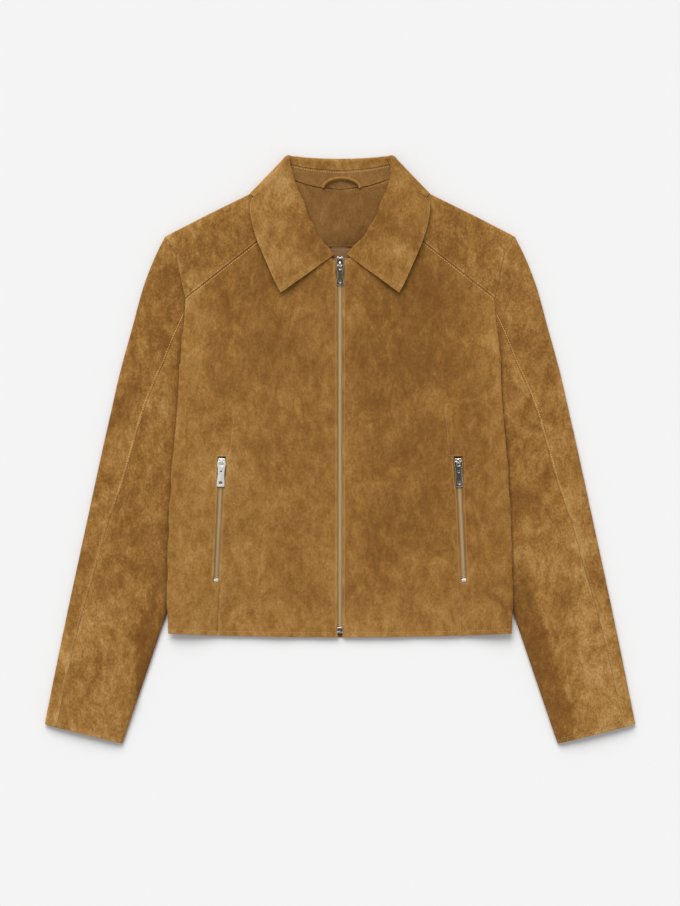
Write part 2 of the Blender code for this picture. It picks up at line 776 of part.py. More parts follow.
def main():
    for obj in list(bpy.data.objects):
        bpy.data.objects.remove(obj, do_unlink=True)
    bpy.context.scene.collection.children.link(PARTS)
    bpy.context.scene.collection.children.link(CUTTERS)

    grid_object("back_panel", make_back(), "suede", SUEDE)
    fronts, yokes = make_fronts(), make_yokes()
    upper, under = make_sleeve()
    sides = {"left": 1, "right": -1}
    for word, side in sides.items():
        front = grid_object("front_" + word, fronts[side], "suede", SUEDE)
        slot = front.modifiers.new("PocketSlot", "BOOLEAN")
        slot.operation = "DIFFERENCE"
        slot.object = pocket_cutter(side)
        grid_object("yoke_" + word, yokes[side], "suede", SUEDE)
        if side > 0:
            upper_side, under_side = flipped(upper), flipped(under)
        else:
            upper_side, under_side = flipped(mirrored(upper)), flipped(mirrored(under))
        grid_object("sleeve_" + word + "_upper", upper_side, "suede", SUEDE)
        grid_object("sleeve_" + word + "_under", under_side, "suede", SUEDE)

    grid_object("collar_fall", whole_collar(fall_section), "suede", SUEDE, True)
    grid_object("collar_stand", whole_collar(stand_section), "suede_inside", SUEDE, True)
    facing, lining = make_facing()
    grid_object("neck_facing", facing, "suede_inside", FACING)
    grid_object("back_lining", lining, "lining", LINING)
    make_loop()

    x0, y0, x1, y1 = MAIN_ZIP
    inner = CHAIN_WIDTH / 2 + GAP
    left_tape = ribbon(x0, y0 - 9, x1, y1 + 3, inner, inner + TAPE_WIDTH, TAPE_DROP, 16)
    grid_object("zip_tape_left", left_tape, "tape", TAPE)
    grid_object("zip_tape_right", mirrored(left_tape), "tape", TAPE)
    make_zip(MAIN_ZIP, ("zip_chain", "zip_box"))
    frame = zip_frame("zip_frame", 0, 220.8, 0)
    make_slider("zip_slider", frame, 0)
    make_pull("zip_pull", frame, 23.5, 8.6, 2.6)

    for word, side in sides.items():
        x0, y0, x1, y1 = POCKET_ZIP
        line = (x0 * side, y0, x1 * side, y1)
        prefix = "pocket_" + word
        make_zip(line, (prefix + "_chain", prefix + "_stop"))
        for edge, start in (("outer", 1), ("inner", -1)):
            inner = CHAIN_WIDTH / 2 + GAP * 2
            ends = (start * inner, start * (inner + POCKET_TAPE))
            low, high = min(ends), max(ends)
            below, above = line[1] - 4, line[3] + 8
            tape = ribbon(line[0], below, line[2], above, low, high, POCKET_TAPE_DROP, 12)
            grid_object(prefix + "_tape_" + edge, tape, "tape", TAPE)
        turn = math.atan2(line[3] - line[1], line[2] - line[0]) - math.pi / 2
        ahead = 0.3
        hinge_x = line[2] - math.sin(turn) * ahead
        hinge_y = line[3] + math.cos(turn) * ahead
        frame = zip_frame(prefix + "_frame", hinge_x, hinge_y, turn)
        make_slider(prefix + "_slider", frame, POCKET_SLIDE)
        make_pull(prefix + "_pull", frame, 30, 10.4, 3)


main()
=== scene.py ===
"""Finished look of a cropped suede jacket, laid flat on its back on a pale floor.

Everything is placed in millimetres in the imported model's frame and turned into metres last.
Left and right are the wearer's, and the wearer's left is +X.
"""
import math
from functools import partial

import bmesh
import bpy
import numpy as np
from mathutils import Matrix, Vector


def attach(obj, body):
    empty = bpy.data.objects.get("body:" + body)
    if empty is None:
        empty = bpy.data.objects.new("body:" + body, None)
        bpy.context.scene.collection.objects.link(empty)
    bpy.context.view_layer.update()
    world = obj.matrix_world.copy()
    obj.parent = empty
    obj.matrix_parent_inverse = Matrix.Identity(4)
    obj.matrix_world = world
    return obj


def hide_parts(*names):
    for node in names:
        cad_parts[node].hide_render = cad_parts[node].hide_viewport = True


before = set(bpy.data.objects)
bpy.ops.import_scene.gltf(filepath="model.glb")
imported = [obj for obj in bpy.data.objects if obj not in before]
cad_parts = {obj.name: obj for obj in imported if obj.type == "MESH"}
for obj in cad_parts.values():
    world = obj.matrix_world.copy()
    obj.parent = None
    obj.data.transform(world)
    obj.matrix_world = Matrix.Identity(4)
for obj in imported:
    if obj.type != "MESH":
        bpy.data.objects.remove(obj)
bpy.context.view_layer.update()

MM = 0.001
GAP = 0.1  # between neighbouring pieces
WALL = 1.15  # suede thickness
HEM_WALL = 1.9  # suede folded double at hems and front edges
EDGE_ROUND = 0.45  # radius of a cut or folded edge
SOFT_FOLD = 11  # width over which a folded side turns down
STITCH_PITCH = 2.9
STITCH_LENGTH = 2.15
STITCH_RADIUS = 0.4
HEM_STITCH = 5.2  # from the hem's edge to its stitches
EDGE_STITCH = 2.6  # from a front's or the collar's edge to its stitches
SEAM_STITCH = 2.1  # from a seam, or the pocket opening, to its stitches


# ---------------------------------------------------------------- camera, light and floor

CAMERA_HEIGHT = 3.0  # metres, as are the next three
SUEDE_LEVEL = 0.008
VIEW_HEIGHT = 1.0872  # what the camera takes in from top to bottom at the suede's level
VIEW_MIDDLE = -0.0042


def linked(name, data):
    """A new object in the scene."""
    obj = bpy.data.objects.new(name, data)
    bpy.context.scene.collection.objects.link(obj)
    return obj


def set_stage():
    """Camera straight above, a soft key from the upper left, and a plain pale floor."""
    scene = bpy.context.scene
    camera = linked("Camera", bpy.data.cameras.new("Camera"))
    camera.data.sensor_fit = "VERTICAL"
    camera.data.sensor_height = 36
    camera.data.lens = camera.data.sensor_height * (CAMERA_HEIGHT - SUEDE_LEVEL) / VIEW_HEIGHT
    camera.data.clip_end = 50
    camera.location = (0, VIEW_MIDDLE, CAMERA_HEIGHT)
    scene.camera = camera
    scene.view_settings.view_transform = "Standard"

    key = linked("KeyLight", bpy.data.lights.new("KeyLight", "SUN"))
    key.data.energy = 2.92
    key.data.angle = math.radians(42)
    key.data.color = (1, 0.995, 0.985)
    key.rotation_euler = Vector((0.3, -1.25, -1)).to_track_quat("-Z", "Y").to_euler()

    scene.world = bpy.data.worlds.new("Studio")
    sky = Nodes(scene.world)
    way = sky.add("ShaderNodeTexCoord").outputs["Generated"]
    up = sky.add("ShaderNodeSeparateXYZ", Vector=way).outputs["Z"]
    hood = [(0.9, (1, 1, 1)), (0.955, (0.12, 0.11, 0.1))]  # dark overhead, for metal to mirror
    sky.finish(Color=sky.ramp(up, hood), Strength=0.62)

    bm = bmesh.new()
    bmesh.ops.create_grid(bm, x_segments=1, y_segments=1, size=20)
    mesh = bpy.data.meshes.new("Floor")
    bm.to_mesh(mesh)
    bm.free()
    paper = Nodes(bpy.data.materials.new("FloorPaper"))
    mesh.materials.append(paper.finish(Base_Color=(0.815, 0.815, 0.82, 1), Roughness=1,
                                       Specular_IOR_Level=0))
    floor = linked("Floor", mesh)
    floor.location.z = -0.0002


# ---------------------------------------------------------------- materials


class Nodes:
    """Short calls for building the node tree of a material or the world."""

    def __init__(self, owner):
        owner.use_nodes = True
        self.owner, self.tree = owner, owner.node_tree
        nodes = self.tree.nodes
        self.shader = nodes.get("Principled BSDF") or nodes["Background"]

    def add(self, kind, **inputs):
        node = self.tree.nodes.new(kind)
        self.fill(node, inputs)
        return node

    def fill(self, node, inputs):
        for name, value in inputs.items():
            self.put(node.inputs[name.replace("_", " ")], value)

    def put(self, socket, value):
        if isinstance(value, bpy.types.NodeSocket):
            self.tree.links.new(value, socket)
        else:
            socket.default_value = value

    def place(self, scale, shift=(0, 0, 0), turn=0):
        """Points of the shared frame, scaled for a pattern."""
        where = self.add("ShaderNodeTexCoord").outputs["Object"]
        return self.add("ShaderNodeMapping", Vector=where, Scale=scale, Location=shift,
                        Rotation=(0, 0, turn)).outputs["Vector"]

    def noise(self, vector, detail=3, roughness=0.5, distortion=0):
        return self.add("ShaderNodeTexNoise", Vector=vector, Scale=1, Detail=detail,
                        Roughness=roughness, Distortion=distortion).outputs["Fac"]

    def math(self, operation, *values):
        node = self.add("ShaderNodeMath")
        node.operation = operation
        for socket, value in zip(node.inputs, values):
            self.put(socket, value)
        return node.outputs[0]

    def attribute(self, name):
        node = self.add("ShaderNodeAttribute")
        node.attribute_name = name
        return node.outputs["Fac"]

    def ramp(self, value, stops):
        node = self.add("ShaderNodeValToRGB", Fac=value)
        ramp = node.color_ramp
        while len(ramp.elements) < len(stops):
            ramp.elements.new(0.5)
        for element, (position, colour) in zip(ramp.elements, stops):
            element.position = position
            element.color = (*colour, 1)
        return node.outputs["Color"]

    def bump(self, height, distance, strength=1.0, under=None):
        node = self.add("ShaderNodeBump", Height=height, Distance=distance, Strength=strength)
        if under is not None:
            self.put(node.inputs["Normal"], under)
        return node.outputs["Normal"]

    def finish(self, **inputs):
        self.fill(self.shader, inputs)
        return self.owner


SUEDE_TONES = [  # from the darkest brushed nap to the palest
    (0.0, (0.142, 0.058, 0.0105)),
    (0.3, (0.194, 0.084, 0.0162)),
    (0.5, (0.262, 0.121, 0.0255)),
    (0.7, (0.338, 0.172, 0.044)),
    (1.0, (0.46, 0.275, 0.1)),
]
INSIDE_TONES = [
    (0.0, (0.08, 0.031, 0.0075)),
    (0.3, (0.143, 0.062, 0.0145)),
    (0.5, (0.205, 0.097, 0.0245)),
    (0.7, (0.268, 0.138, 0.04)),
    (1.0, (0.4, 0.24, 0.1)),
]


NAP = {  # scale, detail, roughness and distortion of each pattern, and its share in the tone
    "clouds": ((11, 9, 11), 2, 0.5, 0.8, 0.45),
    "mottles": ((36, 29, 36), 3, 0.6, 1.1, 0.62),
    "strokes": ((125, 58, 90), 3, 0.6, 0.6, 0.6),
    "flecks": ((420, 300, 420), 2, 0.7, 0, 0.64),
    "grain": ((1500, 1300, 1500), 2, 0.6, 0, 0.5),
}


def suede(name, tones, seed, contrast=1.0, nap_turn=0.0):
    """Brushed suede: cloudy patches, nap strokes, fine grain, painted light and shade from the
    tone attribute, and paler edges of rubbed wear and painted highlight.
    """
    made = Nodes(bpy.data.materials.new(name))
    shift = (seed * 3.7, seed * 1.9, seed * 5.3)
    value = made.attribute("tone")
    found = {}
    for kind, (scale, detail, roughness, distortion, share) in NAP.items():
        turn = nap_turn if kind in ("mottles", "strokes") else 0
        found[kind] = made.noise(made.place(scale, shift, turn), detail, roughness, distortion)
        swing = made.math("SUBTRACT", found[kind], 0.5)
        value = made.math("MULTIPLY_ADD", swing, share * contrast, value)
    broken = made.math("MULTIPLY_ADD", found["strokes"], 1.5, 0.15)
    wear_and_highlight = made.math("MULTIPLY", made.attribute("wear_and_highlight"), broken)
    colour = made.ramp(made.math("ADD", value, wear_and_highlight), tones)
    nap = None
    for kind, depth, strength in (("mottles", 0.0011, 0.5), ("strokes", 0.0004, 0.5),
                                  ("flecks", 0.00025, 0.6), ("grain", 0.00016, 0.7)):
        nap = made.bump(found[kind], depth, strength, nap)
    return made.finish(Base_Color=colour, Normal=nap, Roughness=0.93, Specular_IOR_Level=0.16,
                       Sheen_Weight=0.22, Sheen_Roughness=0.45, Sheen_Tint=(0.85, 0.66, 0.42, 1))


def cloth_lining(name):
    """Plain woven lining with a fine cross grain."""
    made = Nodes(bpy.data.materials.new(name))
    warp = made.noise(made.place((2600, 300, 300)), 1)
    weft = made.noise(made.place((300, 2600, 300), (4, 2, 0)), 1)
    weave = made.math("ADD", warp, weft)
    clouds = made.noise(made.place((45, 45, 45)), 3)
    value = made.math("MULTIPLY_ADD", weave, 0.35, made.math("MULTIPLY", clouds, 0.35))
    colour = made.ramp(value, [(0.2, (0.105, 0.045, 0.013)), (0.8, (0.24, 0.115, 0.034))])
    return made.finish(Base_Color=colour, Normal=made.bump(weave, 0.0001, 0.8), Roughness=0.62,
                       Sheen_Weight=0.12, Sheen_Roughness=0.4)


def zip_tape(name):
    """Woven tape with fine ribs across it."""
    made = Nodes(bpy.data.materials.new(name))
    where = made.place((1, 1, 1))
    rib = made.add("ShaderNodeTexWave", Vector=where, Scale=420)
    rib.bands_direction = "Y"
    cross = made.add("ShaderNodeTexWave", Vector=where, Scale=300)
    cross.bands_direction = "X"
    weave = made.math("ADD", rib.outputs["Fac"], made.math("MULTIPLY", cross.outputs["Fac"], 0.6))
    dirt = made.noise(made.place((90, 60, 90)), 3)
    value = made.math("MULTIPLY_ADD", weave, 0.3, made.math("MULTIPLY", dirt, 0.5))
    # The tone attribute darkens the tape beside the chain with painted shade.
    value = made.math("ADD", value, made.attribute("tone"))
    colour = made.ramp(value, [(0, (0.03, 0.015, 0.006)), (0.2, (0.2, 0.105, 0.035)),
                               (0.9, (0.46, 0.29, 0.125))])
    return made.finish(Base_Color=colour, Normal=made.bump(weave, 0.00012, 0.8), Roughness=0.85)


def thread(name, dark, light):
    """Spun polyester thread."""
    made = Nodes(bpy.data.materials.new(name))
    twist = made.noise(made.place((2400, 2400, 2400)), 2)
    colour = made.ramp(twist, [(0.3, dark), (0.7, light)])
    return made.finish(Base_Color=colour, Normal=made.bump(twist, 0.0001, 0.7), Roughness=0.6,
                       Sheen_Weight=0.15, Sheen_Roughness=0.4)


def metal(name, dark, light, low, high, cloud_scale=500, metallic=1.0):
    """Plated metal with faint cloudy tarnish and brushing."""
    made = Nodes(bpy.data.materials.new(name))
    clouds = made.noise(made.place((cloud_scale,) * 3), 4, 0.6)
    lines = made.noise(made.place((3500, 260, 900)), 2)
    value = made.math("MULTIPLY_ADD", lines, 0.3, made.math("MULTIPLY", clouds, 0.7))
    colour = made.ramp(value, [(0.3, dark), (0.62, light)])
    rough = made.add("ShaderNodeMapRange", Value=value, To_Min=low, To_Max=high)
    return made.finish(Base_Color=colour, Metallic=metallic, Roughness=rough.outputs["Result"],
                       Normal=made.bump(lines, 0.00003, 0.5))


# ---------------------------------------------------------------- numbers and curves


def smooth(value):
    """Ease from 0 to 1."""
    value = np.clip(value, 0, 1)
    return value * value * (3 - 2 * value)


def mix(first, second, part):
    return first + (second - first) * part


def bell(away, width):
    """1 on a line, falling evenly to both sides of it."""
    return np.exp(-((away / width) ** 2))


def fade(away, width):
    """1 at an edge, falling away from it."""
    return np.exp(-away / width)


def quarter(away, width):
    """A quarter circle: 0 at an edge, and 1 from the given width on."""
    return np.sqrt(1 - (1 - np.clip(away / width, 0, 1)) ** 2)


def unit(vectors):
    return vectors / np.maximum(np.linalg.norm(vectors, axis=-1, keepdims=True), 1e-9)


def run_along(points):
    """How far along a line each of its points is."""
    return np.concatenate([[0], np.cumsum(np.linalg.norm(np.diff(points, axis=0), axis=1))])


def through(keys, values, at):
    """A smooth curve through the given values, read at any keys."""
    keys, values, at = (np.asarray(data, float) for data in (keys, values, at))
    rows = values.reshape(len(keys), -1)
    gaps = np.diff(keys)
    slopes = np.diff(rows, axis=0) / gaps[:, None]
    tangents = np.empty_like(rows)
    tangents[0], tangents[-1] = slopes[0], slopes[-1]
    weight = (gaps[1:] / (gaps[1:] + gaps[:-1]))[:, None]
    tangents[1:-1] = slopes[:-1] * weight + slopes[1:] * (1 - weight)
    flat = np.clip(at.ravel(), keys[0], keys[-1])
    i = np.clip(np.searchsorted(keys, flat, side="right") - 1, 0, len(keys) - 2)
    span = gaps[i][:, None]
    t = ((flat - keys[i]) / gaps[i])[:, None]
    start = (2 * t**3 - 3 * t**2 + 1) * rows[i] + (t**3 - 2 * t**2 + t) * span * tangents[i]
    end = (3 * t**2 - 2 * t**3) * rows[i + 1] + (t**3 - t**2) * span * tangents[i + 1]
    return (start + end).reshape(at.shape + values.shape[1:])


def curve(table, key):
    """Read a table of rows (key, value) along a smooth curve."""
    rows = np.array(table, float)
    return through(rows[:, 0], rows[:, 1], key)


def linear(table, key):
    """Read a table of rows (key, value) along straight lines."""
    rows = np.array(table, float)
    return np.interp(key, rows[:, 0], rows[:, 1])


def to_line(points, x, y):
    """Signed distance from a line of straight pieces, and how far along it, from 0 to 1."""
    x, y = np.asarray(x, float), np.asarray(y, float)
    line = np.array(points, float)
    lengths = np.hypot(*np.diff(line, axis=0).T)
    before = np.concatenate([[0], np.cumsum(lengths)])
    best = np.full(x.shape, 1e9)
    signed, along = np.zeros(x.shape), np.zeros(x.shape)
    for (x0, y0), (x1, y1), length, start in zip(line, line[1:], lengths, before):
        ux, uy = (x1 - x0) / length, (y1 - y0) / length
        run = np.clip((x - x0) * ux + (y - y0) * uy, 0, length)
        dx, dy = x - x0 - run * ux, y - y0 - run * uy
        gap = np.hypot(dx, dy)
        closer = gap < best
        best = np.where(closer, gap, best)
        signed = np.where(closer, np.where(dx * uy - dy * ux > 0, gap, -gap), signed)
        along = np.where(closer, (start + run) / before[-1], along)
    return signed, along


def off_line(points, x, y):
    """Distance from a line, to either side."""
    return np.abs(to_line(points, x, y)[0])


EDGE_STEPS = (0, 0.2, 0.5, 0.9, 1.5, 2.1, 2.6, 3.1, 4, 5.2)
FOLD_STEPS = np.array((0, 0.12, 0.5, 1.1, 1.9, 3, 4.4, 6.2, 8.4, 11))


def steps(width, spacing, fine=EDGE_STEPS, fine_end=True):
    """Places from 0 to 1 across a width, closer together at its start and, if asked, its end."""
    first = np.array(fine, float)
    last = first if fine_end else np.zeros(1)
    low, high = first[-1], width - last[-1]
    middle = np.linspace(low, high, max(1, round((high - low) / spacing)) + 1)
    return np.concatenate([first[:-1], middle, width - last[:-1][::-1]]) / width


def heights(low, high, spacing, fine=EDGE_STEPS):
    return low + (high - low) * steps(high - low, spacing, fine)


def with_end(places, end):
    """Places from 0 to 1 whose last ones give way to others."""
    return np.concatenate([places[places < end[0]], end])


# ---------------------------------------------------------------- the jacket's lines

SIDE_SEAM = [  # y, x
    (-221, 206.5), (-196, 207), (-150, 206.7), (-100, 205.4), (-50, 203), (-4, 200), (40, 196),
    (75, 193.8), (95, 193.1), (105, 193),
]
ARMHOLE = [  # y, x
    (105, 193), (114, 192.2), (127, 191), (143, 188.5), (162, 186.6), (182, 186), (197, 189.5),
    (216, 193.6), (235, 198), (247, 204), (256, 210),
]
NECK_POINT = (66, 329.5)
SHOULDER_TIP = (210, 256)
SHOULDER = [NECK_POINT, (111, 305.6), (160, 281.6), SHOULDER_TIP]
YOKE_NECK = (66, 277)
YOKE_CORNER = (186, 182)
FRONT_EDGE_X = 5.2
FRONT_NECK_Y = 226
HEM = [(5.2, -225.6), (60, -225.4), (150, -223.4), (206.5, -221)]  # x, y
BACK_NECK = [(0, 312), (33, 315.7), (66, 327)]  # x, y
TUCK = [  # y, x of the sleeve's inner edge beneath the body
    (-225, 217.8), (-196, 208), (-148, 192), (-100, 176), (-50, 163), (-15, 158), (15, 160),
    (42, 172), (62, 186), (80, 190), (256, 190),
]
SIDE_LIFT = [  # y, height of the body's side on the sleeve
    (-226, 5.6), (-196, 7), (-175, 7.3), (88, 7.3), (105, 6.4), (127, 4), (150, 2), (182, 0.8),
    (215, 0.4), (256, 0.3),
]
LIFT_RAMP = 68
FALL_LIFT = 1.85
BODY_THICK = 6.6
SLEEVE_HALF = 3.3
POCKET_ZIP = (148.4, -155, 141.7, -15)  # x, y at the bottom and the top of the chain
POCKET_HALF = 5.1  # half the width of the opening in the suede, at the slider
LIP_HALF = 3.0  # the same along the closed chain
POCKET_LOW, POCKET_HIGH = -159, -8.5
DART = [  # y, x of the seam that holds the pocket zip
    (-226, 147.4), (-190, 145.4), (-163, 143), (-155, 141.3), (-15, 134.6), (-5, 133.4),
    (4, 132.2), (28, 130), (51, 127.5), (120, 122), (226, 114),
]
DART_TOP = 51
MAIN_ZIP = (0, -213.5, 0, 226.8)
SIDE_LINE = [(x, y) for y, x in SIDE_SEAM]
ARMHOLE_LINE = [(x, y) for y, x in ARMHOLE]
YOKE_LINE = [YOKE_NECK, YOKE_CORNER]
NECK_X, HEM_Y = YOKE_NECK[0], HEM[0][1]


def side_x(y):
    """The body's side line, from the hem to the shoulder tip."""
    return curve(SIDE_SEAM[:-1] + ARMHOLE, y)


def pocket_x(y):
    """The middle of the pocket zip."""
    x0, y0, x1, y1 = POCKET_ZIP
    return x0 + (x1 - x0) * (y - y0) / (y1 - y0)


def yoke_y(x):
    """The seam between the yoke and the front."""
    part = (x - NECK_X) / (YOKE_CORNER[0] - NECK_X)
    return mix(YOKE_NECK[1], YOKE_CORNER[1], part)


def above_hem(x, y):
    """Distance above the hem's edge."""
    return y - linear(HEM, np.abs(x))


def pocket_half(y):
    """Half the width of the pocket opening, where its lips part at the slider."""
    return mix(LIP_HALF, POCKET_HALF, smooth((y + 52) / 22))


def front_edge(y):
    """Centre edge of a front, close to the chain and parted at the slider."""
    return mix(LIP_HALF, FRONT_EDGE_X, smooth((y - 196) / 15))


def body_lift(x, y):
    """Height of the back panel's underside."""
    x = np.abs(x)
    ramp = smooth((x - linear(TUCK, y) + LIFT_RAMP + 16) / LIFT_RAMP)
    fall = FALL_LIFT * smooth((y - 240) / 25) * np.clip((198 - x) / 86, 0, 1)
    return np.maximum(linear(SIDE_LIFT, y) * ramp, fall)


def body_thickness(x, y):
    x = np.abs(x)
    neck = 0.5 * smooth((y - 190) / 35)
    side = 1.1 * smooth((x - 120) / 60) * (1 - smooth((y - 80) / 60))
    return BODY_THICK + neck - side - 1.2 * smooth((-150 - y) / 70)


def body_top(x, y):
    return body_lift(x, y) + body_thickness(x, y)


def body_face(x, y, top):
    """Height of the front or the back, turned down at the side and over the shoulder."""
    x = np.abs(x)
    half = body_thickness(x, y) / 2
    away = np.minimum(off_line(SIDE_LINE, x, y), off_line(SHOULDER, x, y))
    reach = (half - GAP) * quarter(away, SOFT_FOLD if top else half) + GAP
    return body_lift(x, y) + half + (reach if top else -reach)


# ---------------------------------------------------------------- soft creases

# Each crease: its line, width and depth. A trough is positive and has a soft ridge on one side.
CHEST_CREASES = {
    1: [
        ([(189, 118), (165, 96), (138, 84), (112, 80)], 10, 0.9),
        ([(191, 92), (172, 66), (150, 52)], 8, 0.7),
        ([(180, 172), (160, 140), (150, 108)], 12, 0.6),
        ([(30, 160), (34, 90), (28, 20), (33, -60)], 15, 0.5),
        ([(70, 60), (92, 20), (100, -40), (96, -110)], 18, 0.6),
        ([(186, 20), (183, -50), (188, -120), (184, -190)], 9, 0.7),
        ([(40, -215), (47, -180), (44, -140)], 13, 0.7),
        ([(108, -218), (104, -188), (110, -150)], 14, 0.8),
        ([(172, -214), (168, -186), (171, -160)], 9, 0.6),
        ([(80, 175), (110, 150), (128, 118)], 14, 0.5),
    ],
    -1: [
        ([(190, 112), (168, 84), (145, 66), (120, 58)], 9, 1.0),
        ([(187, 80), (168, 50), (160, 20)], 10, 0.7),
        ([(176, 168), (152, 146), (139, 120)], 11, 0.5),
        ([(22, 150), (26, 70), (20, -10), (26, -90)], 13, 0.6),
        ([(64, 100), (80, 40), (76, -30)], 17, 0.6),
        ([(100, 10), (108, -60), (102, -130)], 16, 0.5),
        ([(188, 40), (185, -30), (190, -100), (187, -180)], 10, 0.8),
        ([(58, -216), (52, -184), (57, -150)], 14, 0.7),
        ([(124, -216), (128, -190), (122, -160)], 12, 0.7),
    ],
}
YOKE_CREASES = {
    1: [([(178, 262), (150, 240), (132, 218)], 10, 0.5), ([(120, 290), (112, 262)], 9, 0.4)],
    -1: [([(184, 250), (160, 236), (130, 232)], 9, 0.5), ([(140, 284), (126, 258)], 10, 0.4)],
}
SLEEVE_CREASES = {
    1: [
        ([(212, 238), (206, 206), (202, 170), (202, 130)], 5, 1.4),
        ([(204, 120), (222, 96), (240, 84)], 8, 0.9),
        ([(196, 72), (214, 52), (236, 40)], 9, 0.8),
        ([(180, -20), (206, -34), (232, -38)], 9, 0.8),
        ([(286, -20), (262, -38), (244, -44)], 8, 0.7),
        ([(200, -110), (222, -120), (250, -118)], 8, 0.7),
        ([(302, -150), (288, -176), (284, -210)], 9, 0.7),
        ([(300, -250), (292, -285), (298, -325)], 10, 0.6),
        ([(262, 60), (256, 20), (262, -40)], 12, 0.6),
    ],
    -1: [
        ([(212, 236), (205, 200), (202, 160), (203, 126)], 5, 1.3),
        ([(206, 112), (220, 90), (234, 60)], 9, 0.9),
        ([(186, 60), (210, 36), (230, 30)], 8, 0.8),
        ([(178, -40), (204, -50), (226, -66)], 9, 0.9),
        ([(292, -40), (272, -62), (252, -70)], 8, 0.7),
        ([(310, -170), (296, -196), (292, -236)], 9, 0.8),
        ([(250, 90), (246, 40), (254, -10)], 12, 0.6),
        ([(306, -270), (310, -300), (318, -330)], 9, 0.6),
    ],
}
SLEEVE_FOLDS = {  # x, y along the folded edge, from above to below
    1: [(206, -120), (226, -158), (248, -212), (270, -276), (279, -325)],
    -1: [(212, -170), (234, -196), (246, -228), (247, -262), (241, -335)],
}
BACK_CREASES = [
    ([(-60, 300), (-80, 200), (-70, 90)], 20, 0.6), ([(70, 290), (60, 180), (78, 60)], 20, 0.6),
    ([(-150, 120), (-120, 60), (-126, -20)], 15, 0.6), ([(0, 100), (8, -20), (-4, -130)], 22, 0.5),
    ([(150, 110), (128, 40), (134, -60)], 15, 0.6),
    ([(90, -215), (84, -170), (92, -110)], 15, 0.7),
    ([(-60, -216), (-66, -160), (-58, -100)], 15, 0.7),
]


def creased(x, y, creases, depth=1.0):
    """How far the cloth sinks at each point, with ridges negative."""
    total = np.zeros(np.shape(x))
    for line, width, drop in creases:
        signed, along = to_line(line, x, y)
        trough = bell(signed, width)
        ridge = bell(signed - 1.7 * width, 1.1 * width)
        ends = smooth(np.minimum(along, 1 - along) / 0.28)
        total += drop * depth * ends * (trough - 0.6 * ridge)
    return total


def folded(x, y, side):
    """Distance inside a lower sleeve's fold, and how strong the fold is there."""
    away, along = to_line(SLEEVE_FOLDS[side], x, y)
    return away, smooth(along / 0.3) * smooth((-100 - y) / 40)


def ripple(run, seed):
    """An uneven wave along a seam, about 11 mm long, from -1 to 1."""
    return 0.6 * np.sin(run / 1.75 + seed) + 0.4 * np.sin(run / 1.07 + 2.3 * seed)


# Patches of the nap brushed paler or darker, and patches of painted light and shade, such as the
# paler side towards the key light: x, y, width, height, amount.
PATCHES = [
    (-183, 60, 26, 120, 0.1), (-180, -120, 30, 90, 0.07), (-120, -150, 60, 70, 0.03),
    (-90, 150, 60, 60, -0.05), (-60, 60, 70, 80, -0.01), (90, 140, 70, 60, -0.15),
    (60, 40, 80, 90, -0.11), (120, -40, 40, 80, -0.06), (60, -120, 80, 80, -0.08),
    (186, 20, 24, 110, 0.05), (120, -205, 120, 20, 0.08), (-120, -205, 120, 20, 0.09),
    (-75, -150, 28, 36, -0.09), (-150, -40, 22, 50, 0.06), (-40, -190, 30, 26, 0.05),
    (92, -10, 30, 34, -0.05), (70, -95, 26, 30, -0.06), (120, -150, 22, 40, 0.05),
    (14, 40, 10, 200, 0.04), (-14, 40, 10, 200, 0.05), (178, 150, 16, 60, 0.05),
    (-176, 170, 14, 60, 0.08), (-205, 150, 26, 90, -0.07), (-262, 90, 26, 90, -0.02),
    (-300, -260, 50, 90, 0.12), (-250, -60, 30, 90, -0.03), (230, 130, 28, 100, 0.02),
    (268, 60, 20, 120, 0.12), (300, -80, 30, 100, 0.12),
    (310, -260, 50, 90, 0.2), (232, -60, 24, 90, 0.06), (-140, 250, 50, 36, -0.08),
    (-228, -250, 13, 50, -0.13), (-214, -195, 14, 26, -0.08), (236, -245, 14, 44, -0.14),
    (256, -300, 12, 34, -0.1), (214, -178, 14, 34, -0.1), (268, -186, 11, 15, -0.16),
    (140, 250, 50, 36, -0.02), (-210, 245, 20, 24, 0.05), (210, 245, 20, 24, 0.06),
]


def patched(points):
    """The tone that the patches give each point."""
    x, y = points[..., 0], points[..., 1]
    tone = np.full(x.shape, 0.5)
    for px, py, width, height, amount in PATCHES:
        tone += amount * np.exp(-(((x - px) / width) ** 2) - ((y - py) / height) ** 2)
    return tone


# ---------------------------------------------------------------- meshes

MADE = {}


def grid_normals(points):
    return unit(np.cross(np.gradient(points, axis=0), np.gradient(points, axis=1)))


def edge_distance(points, sides="abcd"):
    """Distance across the cloth to the nearest of a grid's own edges."""
    def run(axis, back):
        step = np.linalg.norm(np.diff(points, axis=axis), axis=2)
        total = np.cumsum(np.flip(step, axis) if back else step, axis)
        total = np.insert(total, 0, 0, axis)
        return np.flip(total, axis) if back else total
    return np.minimum.reduce([run(*divmod("abcd".index(side), 2)) for side in sides])


def piece(name, mesh, material, node=None, body="jacket"):
    """A piece that rides on a body, stands for a CAD node, and takes its finish from a slot."""
    mesh.materials.append(material)
    obj = MADE[name] = linked(name, mesh)
    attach(obj, body)
    if node:
        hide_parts(node)


def soft_mesh(name, vertices, faces, tone=None, wear_and_highlight=None, flat=False):
    """A mesh in millimetres, with its tone (nap, and painted light and shade in places) and its
    paler edges (rubbed wear and painted highlight).
    """
    vertices = np.array(vertices, float)
    vertices[:, 2] = np.maximum(vertices[:, 2], 0)  # nothing sinks into the table
    mesh = bpy.data.meshes.new(name)
    mesh.from_pydata((vertices * MM).tolist(), [], faces)
    mesh.update()
    for label, values in (("tone", tone), ("wear_and_highlight", wear_and_highlight)):
        if values is not None:
            layer = mesh.attributes.new(label, "FLOAT", "POINT")
            layer.data.foreach_set("value", np.asarray(values, np.float32).ravel())
    if not flat:
        mesh.shade_smooth()
    return mesh


